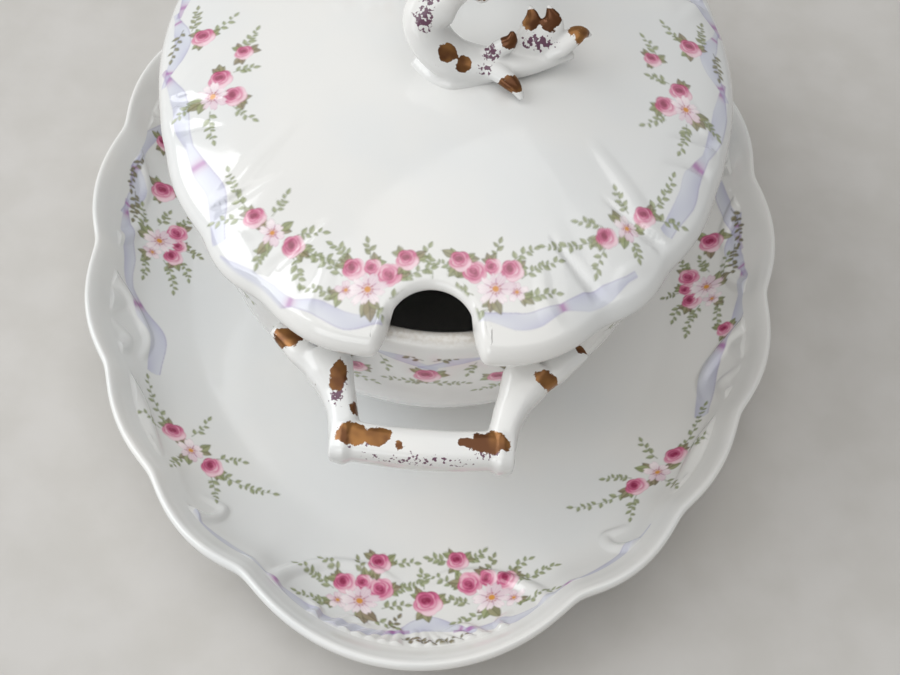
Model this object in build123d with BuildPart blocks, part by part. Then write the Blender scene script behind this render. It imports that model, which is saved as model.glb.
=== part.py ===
"""Covered sauce dish of porcelain: scalloped underplate, two-handled bowl, lid with a ladle notch.

Millimetres, +Z up.  The origin is on the table under the middle of the underplate, and the long
axis of the oval runs along Y.  The ladle notch in the lid is at the -Y end.  Three loose pieces
stand on each other: underplate, bowl and lid.  Foot rings, handles, flange and finial are made
apart and luted on with slip before the firing, so each is a solid of its own.
"""
from build123d import *
from math import cos, radians, sin
import os

os.makedirs("parts", exist_ok=True)

# ---- underplate: driving sizes ----
plate_half_width = 82.0         # oval through the notches of the rim, across
plate_half_length = 113.0       # the same oval, along
plate_rim_height = 22.0         # table to the top of the rim
plate_wall = 4.2                # wall thickness by the floor, measured level
plate_rim_wall = 2.9            # the same at the rim
plate_floor = 3.4               # thickness of the flat floor
plate_foot_height = 2.6         # foot ring below the floor
plate_foot_width = 5.0
plate_foot_half_width = 54.0
plate_foot_half_length = 76.0
plate_notches = (9.6, 28.5, 45.1, 64.3)         # degrees round a quarter of the oval
plate_crowns = (3.0, 2.9, 1.9, 2.6, 7.5)        # how far each lobe stands out past the oval

# ---- bowl: driving sizes ----
bowl_half_width = 57.5
bowl_half_length = 72.5
bowl_height = 60.0              # underside of the foot to the top of the rim
bowl_wall = 4.4
bowl_floor = 4.5
bowl_foot_height = 3.6
bowl_foot_width = 5.0
bowl_foot_half_width = 34.0
bowl_foot_half_length = 44.0
seat_gap = 0.05                 # between pieces that stand on each other

# ---- lid: driving sizes ----
lid_overhang = 4.5              # how far the lid's rim stands out past the bowl's rim
lid_end_overhang = 2.0          # what the overhang gains at the two ends
lid_edge = 4.6                  # height of the lid's edge
lid_rise = 18.0                 # underside of the edge to the crown of the dome
lid_wall = 4.2
flange_depth = 5.0              # locating flange below the lid's edge
flange_wall = 3.2
flange_clearance = 1.6          # flange to the inside of the bowl's mouth
ladle_notch_radius = 8.3
ladle_notch_reach = 14.0        # end of the rim to the head of the notch
ladle_notch_mouth = 10.2        # half width of the notch at the very edge
notch_relief_radius = 12.0      # hollow cut from below round the head of the notch
notch_relief_rise = 5.0         # underside of the edge to the top of that hollow
lid_notches = (16.2, 22.7, 41.2, 57.3, 80.5)
lid_crowns = (1.0, 0.5, 1.3, 2.1, 2.4, 0.5)

# ---- handles: driving sizes ----
handle_bar = 7.4                # width of the cross bar, seen from above
handle_depth = 8.6              # height of the handle's section
handle_half_width = 17.8        # middle of the handle to the outside of a corner post
handle_reach = 19.5             # bowl's rim to the outside of the cross bar
handle_wing = 34.0              # middle of the handle to the tip of a wing
handle_drop = 6.0               # bowl's rim down to the top of the handle
handle_slope = 14.0             # degrees that the handle falls away from the rim
handle_chamfer = 1.6
finger_half_width = 12.8

# ---- finial: driving sizes ----
finial_height = 24.0            # crown of the dome to the top of the finial
finial_half_length = 15.5       # middle of the lid to the middle of a foot
finial_half_width = 25.0        # middle of the lid to the end of a leaf scroll
finial_strap = 3.9              # radius of the strap's section

# ---- places that follow from the sizes ----
plate_floor_top = plate_foot_height + plate_floor
bowl_base = plate_floor_top + seat_gap
bowl_rim_top = bowl_base + bowl_height
lid_base = bowl_rim_top + seat_gap
lid_crown = lid_base + lid_rise
lid_half_width = bowl_half_width + lid_overhang
lid_half_length = bowl_half_length + lid_overhang + lid_end_overhang


def oval_point(half_width, half_length, angle):
    return (half_width * cos(radians(angle)), half_length * sin(radians(angle)))


def scalloped_section(height, half_width, half_length, notches, crowns, depth=1.0):
    """A level slice of a dish: an oval of arcs that meet at the notches, at this height.

    Each lobe's crown stands out past the oval by its own amount times depth, which is 1 at a
    fully scalloped rim and 0 where the oval is plain.
    """
    turns = list(notches)
    turns += [180 - angle for angle in reversed(notches)]
    turns += [180 + angle for angle in notches]
    turns += [360 - angle for angle in reversed(notches)]
    turns.append(360 + notches[0])
    half_turn = list(crowns[1:]) + list(crowns[-2::-1])
    with BuildSketch(Plane.XY.offset(height)) as section:
        with BuildLine():
            for start, end, crown in zip(turns, turns[1:], half_turn + half_turn):
                outset = crown * depth
                middle = (start + end) / 2
                ThreePointArc(
                    oval_point(half_width, half_length, start),
                    oval_point(half_width + outset, half_length + outset, middle),
                    oval_point(half_width, half_length, end),
                )
        make_face()
    return section.sketch


def plate_section(height, share, inset, depth):
    return scalloped_section(
        height,
        plate_half_width * share - inset,
        plate_half_length * share - inset,
        plate_notches,
        plate_crowns,
        depth,
    )


def bowl_section(height, share, inset, depth):
    return scalloped_section(
        height,
        bowl_half_width * share - inset,
        bowl_half_length * share - inset,
        lid_notches,
        lid_crowns,
        depth,
    )


def lid_section(height, share, inset, depth):
    return scalloped_section(
        height,
        lid_half_width * share - inset,
        lid_half_length * share - inset,
        lid_notches,
        lid_crowns,
        depth,
    )


# ---- underplate: a shallow scalloped dish, pressed over a mould ----
plate_rise = plate_rim_height - plate_foot_height
plate_well_rise = plate_rim_height - plate_floor_top
plate_profile = (               # (share of the rise, share of the oval, depth of the scallops)
    (0.0, 0.80, 0.15),
    (0.2, 0.90, 0.45),
    (0.55, 0.97, 0.85),
    (1.0, 1.0, 1.0),
)

with BuildPart() as underplate:
    loft([
        plate_section(plate_foot_height + plate_rise * rise, share, 0, depth)
        for rise, share, depth in plate_profile
    ])
    loft(
        [
            plate_section(
                plate_floor_top + plate_well_rise * rise,
                share,
                plate_wall + (plate_rim_wall - plate_wall) * rise ** 2,
                depth,
            )
            for rise, share, depth in plate_profile
        ],
        mode=Mode.SUBTRACT,
    )
underplate.part.label = "underplate"
export_step(underplate.part, "parts/underplate.step")

# ---- foot ring of the underplate ----
with BuildPart() as underplate_foot_ring:
    with BuildSketch():
        Ellipse(plate_foot_half_width, plate_foot_half_length)
        Ellipse(
            plate_foot_half_width - plate_foot_width,
            plate_foot_half_length - plate_foot_width,
            mode=Mode.SUBTRACT,
        )
    extrude(amount=plate_foot_height)
underplate_foot_ring.part.label = "underplate_foot_ring"
export_step(underplate_foot_ring.part, "parts/underplate_foot_ring.step")

# ---- bowl: deep, with a full belly that draws in to the foot ----
bowl_body_base = bowl_base + bowl_foot_height
bowl_rise = bowl_rim_top - bowl_body_base
bowl_well_base = bowl_body_base + bowl_floor
bowl_well_rise = bowl_rim_top - bowl_well_base
bowl_profile = (                # (share of the rise, share of the oval, depth of the scallops)
    (0.0, 0.58, 0.0),
    (0.12, 0.72, 0.0),
    (0.30, 0.85, 0.1),
    (0.50, 0.94, 0.3),
    (0.75, 0.985, 0.7),
    (1.0, 1.0, 1.0),
)

with BuildPart() as bowl:
    loft([
        bowl_section(bowl_body_base + bowl_rise * rise, share, 0, depth)
        for rise, share, depth in bowl_profile
    ])
    bowl_outside = bowl.part
    loft(
        [
            bowl_section(bowl_well_base + bowl_well_rise * rise, share, bowl_wall, depth)
            for rise, share, depth in bowl_profile
        ],
        mode=Mode.SUBTRACT,
    )
bowl.part.label = "bowl"
export_step(bowl.part, "parts/bowl.step")

# ---- foot ring of the bowl ----
with BuildPart() as bowl_foot_ring:
    with BuildSketch(Plane.XY.offset(bowl_base)):
        Ellipse(bowl_foot_half_width, bowl_foot_half_length)
        Ellipse(
            bowl_foot_half_width - bowl_foot_width,
            bowl_foot_half_length - bowl_foot_width,
            mode=Mode.SUBTRACT,
        )
    extrude(amount=bowl_foot_height)
bowl_foot_ring.part.label = "bowl_foot_ring"
export_step(bowl_foot_ring.part, "parts/bowl_foot_ring.step")

# ---- handles: a straight cross bar on two posts, with a wing each side that runs up to the rim ----
handle_plane = Plane(
    origin=(0, -bowl_half_length, bowl_rim_top - handle_drop),
    x_dir=(1, 0, 0),
    z_dir=(0, -sin(radians(handle_slope)), cos(radians(handle_slope))),
)
bar_bow = 0.8                   # how far the middle of the cross bar stands out past its ends
wing_inset = 9.0                # from the end of the rim back to the tip of a wing
waist_reach = 7.0               # from the end of the rim out to where a wing meets its post
root_depth = 8.0                # how far the uncut handle runs inside the wall

with BuildPart() as handle:
    with BuildSketch(handle_plane):
        with BuildLine():
            tip = (handle_wing, wing_inset)
            waist = (handle_half_width + 1.0, -waist_reach)
            corner = (handle_half_width, -handle_reach)
            root = (handle_wing - root_depth, wing_inset + root_depth)
            Polyline((0, root[1]), root, tip)
            ThreePointArc(tip, (handle_half_width + 6.5, -1.0), waist)
            Line(waist, corner)
            ThreePointArc(corner, (0, -handle_reach - bar_bow), (-corner[0], corner[1]))
            Line((-corner[0], corner[1]), (-waist[0], waist[1]))
            ThreePointArc((-waist[0], waist[1]), (-handle_half_width - 6.5, -1.0), (-tip[0], tip[1]))
            Polyline((-tip[0], tip[1]), (-root[0], root[1]), (0, root[1]))
        make_face()
        with Locations((0, -handle_reach + handle_bar + root_depth)):
            Rectangle(2 * finger_half_width, 2 * root_depth, mode=Mode.SUBTRACT)
    extrude(amount=-handle_depth)
    chamfer(handle.edges().filter_by(handle_plane), length=handle_chamfer)
    add(bowl_outside, mode=Mode.SUBTRACT)
handle.part.label = "bowl_handle_front"
export_step(handle.part, "parts/bowl_handle_front.step")

with BuildPart() as handle_back:
    add(handle.part.rotate(Axis.Z, 180))
handle_back.part.label = "bowl_handle_back"
export_step(handle_back.part, "parts/bowl_handle_back.step")

# ---- ladle notch: round at its head, a little wider at the edge of the lid ----
notch_end = lid_half_length + lid_crowns[-1]
notch_middle = -(notch_end - ladle_notch_reach + ladle_notch_radius)
with BuildPart() as ladle_notch:
    with BuildSketch(Plane.XY.offset(lid_base - flange_depth)):
        with Locations((0, notch_middle)):
            Circle(ladle_notch_radius)
        with BuildLine():
            Polyline(
                (-ladle_notch_radius, notch_middle),
                (ladle_notch_radius, notch_middle),
                (ladle_notch_mouth, -notch_end),
                (ladle_notch_mouth, -notch_end - ladle_notch_reach),
                (-ladle_notch_mouth, -notch_end - ladle_notch_reach),
                (-ladle_notch_mouth, -notch_end),
                close=True,
            )
        make_face()
    extrude(amount=flange_depth + lid_rise)

# ---- relief: the underside and flange are cut back behind the notch, so its lip is thin ----
relief_middle = -(notch_end - ladle_notch_reach - 0.25 * notch_relief_radius)
with BuildPart() as notch_relief:
    with BuildSketch(Plane.XY.offset(lid_base - flange_depth)):
        with Locations((0, relief_middle)):
            Circle(notch_relief_radius)
    extrude(amount=flange_depth + notch_relief_rise)

# ---- lid: a low dome with a thick scalloped edge ----
lid_profile = (                 # (share of the rise, share of the oval, depth of the scallops)
    (0.0, 1.0, 1.0),
    (0.25, 1.0, 1.0),
    (0.42, 0.93, 0.8),
    (0.56, 0.82, 0.5),
    (0.67, 0.70, 0.25),
    (0.83, 0.50, 0.0),
    (0.95, 0.30, 0.0),
    (1.0, 0.12, 0.0),
)
dome_profile = lid_profile[4:]
flange_inset = bowl_wall + flange_clearance + flange_wall

with BuildPart() as lid:
    loft([
        lid_section(lid_base + lid_rise * rise, share, 0, depth)
        for rise, share, depth in lid_profile
    ])
    lid_outside = lid.part
    loft(
        [
            bowl_section(lid_base, 1.0, flange_inset, 1.0),
            bowl_section(lid_base + lid_edge * 0.8, 1.0, flange_inset, 0.8),
        ]
        + [
            lid_section(lid_base + lid_rise * rise - lid_wall, share, 0, depth)
            for rise, share, depth in dome_profile
        ],
        mode=Mode.SUBTRACT,
    )
    add(ladle_notch.part, mode=Mode.SUBTRACT)
    add(notch_relief.part, mode=Mode.SUBTRACT)
lid.part.label = "lid"
export_step(lid.part, "parts/lid.step")

# ---- locating flange: a low wall under the lid that stands inside the bowl's mouth ----
with BuildPart() as lid_flange:
    loft([
        bowl_section(lid_base - flange_depth, 1.0, flange_inset - flange_wall, 1.0),
        bowl_section(lid_base, 1.0, flange_inset - flange_wall, 1.0),
    ])
    loft(
        [
            bowl_section(lid_base - flange_depth, 1.0, flange_inset, 1.0),
            bowl_section(lid_base, 1.0, flange_inset, 1.0),
        ],
        mode=Mode.SUBTRACT,
    )
    add(ladle_notch.part, mode=Mode.SUBTRACT)
    add(notch_relief.part, mode=Mode.SUBTRACT)
lid_flange.part.label = "lid_flange"
export_step(lid_flange.part, "parts/lid_flange.step")

# ---- finial: one strap that scrolls up from a leaf end, over the lid and down to the other ----
strap_top = lid_crown + finial_height - finial_strap
scroll_half = (
    (finial_half_width, -finial_half_length + 3.0, lid_crown + 0.5),
    (finial_half_width * 0.5, -finial_half_length - 0.5, lid_crown + 2.2),
    (0, -finial_half_length - 1.0, lid_crown + 3.4),
    (-5.0, -finial_half_length + 0.5, lid_crown + 8.0),
    (-4.0, -finial_half_length + 2.5, lid_crown + 14.5),
    (0.5, -finial_half_length + 6.0, strap_top - 0.8),
    (1.5, -finial_half_length * 0.25, strap_top),
)
scroll_points = list(scroll_half) + [(-x, -y, z) for x, y, z in reversed(scroll_half)]

with BuildPart() as lid_finial:
    with BuildLine() as scroll:
        Spline(*scroll_points)
    with BuildSketch(Plane(origin=scroll.line @ 0, z_dir=scroll.line % 0)):
        Circle(finial_strap)
    sweep(path=scroll.line)
    add(lid_outside, mode=Mode.SUBTRACT)
lid_finial.part.label = "lid_finial"
export_step(lid_finial.part, "parts/lid_finial.step")
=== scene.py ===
import math

import bpy
import numpy as np
from mathutils import Matrix, Vector


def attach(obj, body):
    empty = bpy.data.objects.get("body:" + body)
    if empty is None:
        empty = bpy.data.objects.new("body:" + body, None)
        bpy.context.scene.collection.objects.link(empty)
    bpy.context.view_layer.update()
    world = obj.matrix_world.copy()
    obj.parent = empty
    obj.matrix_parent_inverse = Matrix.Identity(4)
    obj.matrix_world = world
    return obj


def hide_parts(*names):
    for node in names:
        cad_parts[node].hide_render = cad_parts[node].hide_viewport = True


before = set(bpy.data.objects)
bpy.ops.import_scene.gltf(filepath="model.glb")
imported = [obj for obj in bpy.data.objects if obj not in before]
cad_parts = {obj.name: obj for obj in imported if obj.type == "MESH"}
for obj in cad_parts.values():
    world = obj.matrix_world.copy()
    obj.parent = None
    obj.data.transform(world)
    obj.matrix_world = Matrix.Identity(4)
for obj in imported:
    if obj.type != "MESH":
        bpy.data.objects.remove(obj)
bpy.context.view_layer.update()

MM = 0.001      # shapes are worked out in millimetres and handed to Blender in metres

# ---------------------------------------------------------------------------------------------
# Underplate.  A shallow oval dish of white porcelain, pressed over a mould that gives it the
# scalloped edge, the rolled rim and the low rococo relief.  A transfer border is printed on the
# body before the clear glaze, so roses, sprigs and ribbon lie under the gloss.

PLATE_OVAL = (82.0, 113.0)                  # half width and half length through the rim's notches
PLATE_NOTCHES = (9.6, 28.5, 45.1, 64.3)     # degrees round a quarter of the oval
PLATE_CROWNS = (3.0, 2.9, 1.9, 2.6, 7.5)    # how far each lobe stands out past the oval
NOTCH_SOFTNESS = 0.9


def lobe_reach(turn, notches, crowns):
    """How far the scalloped edge stands out past its oval, for turns in radians."""
    angle = np.degrees(turn) % 180.0
    angle = np.minimum(angle, 180.0 - angle)
    edges = np.array([-notches[0], *notches, 180.0 - notches[-1]])
    lobe = np.clip(np.searchsorted(edges, angle, side="right") - 1, 0, len(crowns) - 1)
    across = (angle - edges[lobe]) / (edges[lobe + 1] - edges[lobe])
    rise = np.array(crowns)[lobe] * 4.0 * across * (1.0 - across)
    return np.sqrt(rise ** 2 + NOTCH_SOFTNESS ** 2) - NOTCH_SOFTNESS


def section_curve(stations, size, step=0.05):
    """A smooth run through the stations of a dish's section, sampled evenly along its length.

    A station is (share of the oval, inset, height, depth of the scallops).  Returned with it is
    the length of the run, measured half way between the two ends of the oval's axes.
    """
    points = np.array(stations, float)
    before = np.vstack([2 * points[0] - points[1], points[:-1]])
    after = np.vstack([points[1:], 2 * points[-1] - points[-2]])
    slope = (after - before) / 2.0
    pieces = []
    for start, end, leave, arrive in zip(points[:-1], points[1:], slope[:-1], slope[1:]):
        t = np.linspace(0.0, 1.0, 40, endpoint=False)[:, None]
        pieces.append(
            start * (1 + 2 * t) * (1 - t) ** 2 + leave * t * (1 - t) ** 2
            + end * t * t * (3 - 2 * t) + arrive * t * t * (t - 1)
        )
    run = np.vstack(pieces + [points[-1:]])
    flat = np.stack([run[:, 0] * sum(size) / 2.0 + run[:, 1], run[:, 2]], 1)
    length = np.concatenate([[0.0], np.cumsum(np.hypot(*np.diff(flat, axis=0).T))])
    even = np.linspace(0.0, length[-1], int(length[-1] / step))
    return np.stack([np.interp(even, length, column) for column in run.T], 1), length[-1]


def dish_surface(turn, along, run, size, notches, crowns):
    """Points of a scalloped dish: turn in radians, along from 0 to 1 down its section."""
    where = along * (len(run) - 1)
    share, inset, height, depth = (
        np.interp(where, np.arange(len(run)), column) for column in run.T
    )
    out = inset + lobe_reach(turn, notches, crowns) * depth
    x = (size[0] * share + out) * np.cos(turn)
    y = (size[1] * share + out) * np.sin(turn)
    return np.stack([x, y, height + 0.0 * x], -1)


def surface_normals(points):
    """Unit normals of a lattice of points that is closed along its first direction."""
    round_it = np.roll(points, -1, 0) - np.roll(points, 1, 0)
    down_it = np.gradient(points, axis=1)
    normal = np.cross(down_it, round_it)
    return normal / np.maximum(np.linalg.norm(normal, axis=-1, keepdims=True), 1e-9)


COARSE_TURNS, COARSE_ROWS, HALVINGS = 40, 12, 6
FINE_TURNS, FINE_ROWS = COARSE_TURNS << HALVINGS, COARSE_ROWS << HALVINGS


def fine_lattice():
    turn = np.arange(FINE_TURNS) * (2 * math.pi / FINE_TURNS)
    along = np.linspace(0.0, 1.0, FINE_ROWS + 1)
    return np.meshgrid(turn, along, indexing="ij")


def lattice_cells(points, wanted):
    """Leaves of a grid that halves its cells until each is as small as its surface asks.

    wanted is the largest cell, in millimetres, at each point of the fine lattice.  Returns a
    list of (cell size in fine steps, first columns, first rows).
    """
    spacing = np.maximum(
        np.linalg.norm(np.roll(points, -1, 0) - points, axis=-1),
        np.linalg.norm(np.gradient(points, axis=1), axis=-1),
    )
    level = HALVINGS - np.floor(np.log2(np.maximum(wanted / np.maximum(spacing, 1e-6), 1.0)))
    level = np.clip(level, 0, HALVINGS).astype(int)
    split = [None] * (HALVINGS + 1)
    split[HALVINGS] = np.zeros((FINE_TURNS, FINE_ROWS), bool)
    for depth in range(HALVINGS - 1, -1, -1):
        size = 1 << (HALVINGS - depth)
        blocks = level[:, :-1].reshape(FINE_TURNS // size, size, FINE_ROWS // size, size)
        asks = blocks.max(axis=(1, 3)) > depth
        finer = split[depth + 1]
        near = finer | np.roll(finer, 1, 0) | np.roll(finer, -1, 0)
        near[:, 1:] |= near[:, :-1].copy()
        near[:, :-1] |= near[:, 1:].copy()
        asks |= near.reshape(asks.shape[0], 2, asks.shape[1], 2).any(axis=(1, 3))
        split[depth] = asks
    leaves = []
    exists = np.ones((COARSE_TURNS, COARSE_ROWS), bool)
    for depth in range(HALVINGS + 1):
        size = 1 << (HALVINGS - depth)
        columns, rows = np.nonzero(exists & ~split[depth])
        leaves.append((size, columns * size, rows * size))
        exists = np.repeat(np.repeat(exists & split[depth], 2, 0), 2, 1)
    return leaves


def lattice_mesh(name, points, wanted, marks):
    """A closed piece from its lattice.  marks gives a colour attribute for chosen points.

    The open rings at the two ends of the section are closed by one flat face each.
    """
    leaves = lattice_cells(points, wanted)
    used = np.zeros((FINE_TURNS, FINE_ROWS + 1), bool)
    for size, columns, rows in leaves:
        for across in (0, size):
            for down in (0, size):
                used[(columns + across) % FINE_TURNS, rows + down] = True
    number = np.full(used.shape, -1, np.int64)
    number[used] = np.arange(used.sum())
    corners, counts = [], []
    for size, columns, rows in leaves:
        if not len(columns):
            continue
        step = np.arange(size)
        ring_column = np.concatenate([0 * step, step, size + 0 * step, size - step])
        ring_row = np.concatenate([step, size + 0 * step, size - step, 0 * step])
        at = number[(columns[:, None] + ring_column) % FINE_TURNS, rows[:, None] + ring_row]
        counts.append((at >= 0).sum(1))
        corners.append(at[at >= 0])
    first_ring = number[:, 0][used[:, 0]]
    last_ring = number[:, -1][used[:, -1]][::-1]
    corners += [first_ring, last_ring]
    counts += [[len(first_ring)], [len(last_ring)]]
    corners, counts = np.concatenate(corners), np.concatenate(counts)

    mesh = bpy.data.meshes.new(name)
    mesh.vertices.add(int(used.sum()))
    mesh.vertices.foreach_set("co", (points[used] * MM).astype(np.float32).ravel())
    mesh.loops.add(len(corners))
    mesh.loops.foreach_set("vertex_index", corners.astype(np.int32))
    mesh.polygons.add(len(counts))
    starts = np.concatenate([[0], np.cumsum(counts)[:-1]])
    mesh.polygons.foreach_set("loop_start", starts.astype(np.int32))
    mesh.polygons.foreach_set("loop_total", counts.astype(np.int32))
    mesh.update(calc_edges=True)
    mesh.polygons.foreach_set("use_smooth", np.ones(len(counts), bool))
    for mark, colours in marks(points, used).items():
        layer = mesh.color_attributes.new(mark, "FLOAT_COLOR", "POINT")
        layer.data.foreach_set("color", colours.astype(np.float32).ravel())
    piece = bpy.data.objects.new(name, mesh)
    bpy.context.scene.collection.objects.link(piece)
    return piece


def ink(code):
    """A colour given as six hex digits, as linear light."""
    return np.array([int(code[i:i + 2], 16) / 255.0 for i in (0, 2, 4)], np.float32) ** 2.2


def smooth_line(points, step=0.15):
    """Evenly spaced points on a smooth curve through the given ones."""
    points = np.array(points, float)
    ends = np.vstack([2 * points[0] - points[1], points, 2 * points[-1] - points[-2]])
    pieces = []
    for p0, p1, p2, p3 in zip(ends, ends[1:], ends[2:], ends[3:]):
        t = np.linspace(0.0, 1.0, 24, endpoint=False)[:, None]
        pieces.append(0.5 * (
            2 * p1 + (p2 - p0) * t + (2 * p0 - 5 * p1 + 4 * p2 - p3) * t ** 2
            + (3 * p1 - p0 - 3 * p2 + p3) * t ** 3
        ))
    line = np.vstack(pieces + [points[-1:]])
    length = np.concatenate([[0.0], np.cumsum(np.linalg.norm(np.diff(line, axis=0), axis=1))])
    even = np.linspace(0.0, length[-1], max(3, int(length[-1] / step)))
    return np.stack([np.interp(even, length, column) for column in line.T], 1)


class TransferSheet:
    """A printed transfer laid flat: the colour and cover of every dot of a sheet, in mm."""

    DOTS = 8            # dots to the millimetre
    LEAF_LENGTH = 1.8
    STEM_WIDTH = 0.24

    def __init__(self, half_width, half_height, seed, strength=1.0):
        self.half_width, self.half_height = half_width, half_height
        shape = (int(2 * half_height * self.DOTS), int(2 * half_width * self.DOTS))
        self.colour = np.zeros(shape + (3,), np.float32)
        self.cover = np.zeros(shape, np.float32)
        self.chance = np.random.default_rng(seed)
        self.strength = strength

    def window(self, x, y, reach_x, reach_y):
        size = np.array(self.cover.shape[::-1])
        corner = np.array((x + self.half_width, y + self.half_height))
        reach = np.array((reach_x, reach_y))
        first = np.clip(((corner - reach) * self.DOTS).astype(int), 0, size)
        last = np.clip(((corner + reach) * self.DOTS).astype(int) + 2, 0, size)
        columns, rows = slice(first[0], last[0]), slice(first[1], last[1])
        dx = (np.arange(columns.start, columns.stop) + 0.5) / self.DOTS - self.half_width - x
        dy = (np.arange(rows.start, rows.stop) + 0.5) / self.DOTS - self.half_height - y
        return rows, columns, *np.meshgrid(dx, dy)

    def lay(self, rows, columns, colour, cover):
        cover = np.clip(cover, 0.0, 1.0) * self.strength
        under = self.cover[rows, columns]
        total = cover + under * (1.0 - cover)
        share = (cover / np.maximum(total, 1e-4))[..., None]
        self.colour[rows, columns] += (colour - self.colour[rows, columns]) * share
        self.cover[rows, columns] = total

    def leaf(self, x, y, degrees, length, width, body, edge, cover=0.8):
        facing = math.radians(degrees)
        rows, columns, dx, dy = self.window(x, y, length + 0.3, length + 0.3)
        run = (dx * math.cos(facing) + dy * math.sin(facing)) / length
        side = dy * math.cos(facing) - dx * math.sin(facing)
        belly = width / 2 * np.sin(math.pi * np.clip(run, 0, 1) ** 0.8)
        inside = belly - np.abs(side)
        vein = 0.55 * np.exp(-(side / 0.11) ** 2) + 0.9 * np.clip(1 - inside / 0.2, 0, 1)
        vein += 0.3 * (side > 0)
        colour = body + (edge - body) * np.clip(vein, 0, 1)[..., None]
        self.lay(rows, columns, colour, (inside * 7 + 0.5) * (run > 0) * (run < 1) * cover)

    def stroke(self, line, width, colour, cover=0.8):
        """A thin curved line, tapered to its end."""
        line = smooth_line(line)
        low, high = line.min(0), line.max(0)
        middle, reach = (low + high) / 2, (high - low) / 2 + width
        rows, columns, dx, dy = self.window(*middle, *reach)
        near = np.full(dx.shape, 9.0)
        for place, taper in zip(line, np.linspace(1.0, 0.45, len(line))):
            away = np.hypot(dx + middle[0] - place[0], dy + middle[1] - place[1])
            near = np.minimum(near, away - width * taper / 2)
        self.lay(rows, columns, colour, (0.5 - near * 7) * cover)

    def twig(self, start, end, bend=0.0, pairs=4, dark=0.0):
        """A bowed stem from one place to another, with leaves in turn and one at its tip."""
        body = ink("b3ba95") * (1 - dark) + ink("8d8464") * dark
        edge = ink("6f7a50") * (1 - dark) + ink("54483a") * dark
        chord = math.hypot(end[0] - start[0], end[1] - start[1])
        half = math.radians(bend) / 2
        length = chord * (half / math.sin(half) if abs(half) > 0.01 else 1.0)
        first = math.degrees(math.atan2(end[1] - start[1], end[0] - start[0])) - bend / 2
        steps = 2 * pairs
        stem, heading = [tuple(start)], first
        for _ in range(steps):
            heading += bend / steps
            stem.append((
                stem[-1][0] + length / steps * math.cos(math.radians(heading)),
                stem[-1][1] + length / steps * math.sin(math.radians(heading)),
            ))
        self.stroke(stem, self.STEM_WIDTH, edge)
        for index in range(1, steps):
            side = 1 if index % 2 else -1
            size = self.LEAF_LENGTH * self.chance.uniform(0.75, 1.2) * (1.0 - 0.25 * index / steps)
            lean = first + bend * index / steps + side * self.chance.uniform(40, 66)
            self.leaf(*stem[index], lean, size, size * 0.58, body, edge)
            if self.chance.uniform() < 0.3:
                self.leaf(*stem[index], lean - side * 112, size * 0.7, size * 0.42, body, edge)
        self.leaf(
            *stem[-1], heading, self.LEAF_LENGTH * 0.95, self.LEAF_LENGTH * 0.5, body, edge
        )

    def rose(self, x, y, radius, turn=0.0):
        rows, columns, dx, dy = self.window(x, y, radius * 1.3, radius * 1.3)
        angle = np.arctan2(dy, dx) - math.radians(turn)
        wobble = 0.88 + 0.12 * np.abs(np.sin(2.5 * angle)) + 0.06 * np.cos(angle + 2.0)
        away = np.hypot(dx, dy) / radius / wobble
        # the heart of the flower sits a little off its middle, and the petals wrap round it
        heart = np.hypot(dx + 0.14 * radius, dy - 0.12 * radius) / radius
        swirl = np.arctan2(dy - 0.12 * radius, dx + 0.14 * radius)
        swirl = swirl + 2.2 * heart + math.radians(turn)
        deep, warm, pale = ink("8e1f4a"), ink("d2668f"), ink("f4d3dc")
        tone, inner = np.zeros(dx.shape), 0.0
        petals = (      # (reach of the ring, petals in it, tone at their roots, tone at their tips)
            (0.24, 2, 0.0, 0.18), (0.46, 3, 0.05, 0.60), (0.70, 4, 0.24, 0.90), (9.0, 5, 0.40, 1.0),
        )
        for ring, (edge, count, dark, light) in enumerate(petals):
            lobes = 0.82 + 0.18 * np.abs(np.sin(count * (swirl + 1.3 * ring) / 2))
            outer = edge * lobes if ring < 3 else np.maximum(1.0 + 0.0 * lobes, inner + 0.1)
            rise = np.clip((heart - inner) / np.maximum(outer - inner, 1e-3), 0, 1)
            part = dark + (light - dark) * rise ** 0.8
            part = part - 0.5 * np.clip((rise - 0.84) / 0.16, 0, 1) * (ring < 3)
            part = part + 0.10 * np.cos(swirl * 2 + ring) - 0.16 * np.sin(angle + 0.5)
            tone = np.where(heart >= inner, part, tone)
            inner = outer
        tone = np.clip(tone - 0.5 * np.clip((away - 0.88) / 0.12, 0, 1), 0, 1)[..., None]
        colour = np.where(
            tone < 0.5, deep + (warm - deep) * tone * 2, warm + (pale - warm) * (tone * 2 - 1)
        )
        self.lay(rows, columns, colour, (1 - away) * radius * 7)

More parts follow.
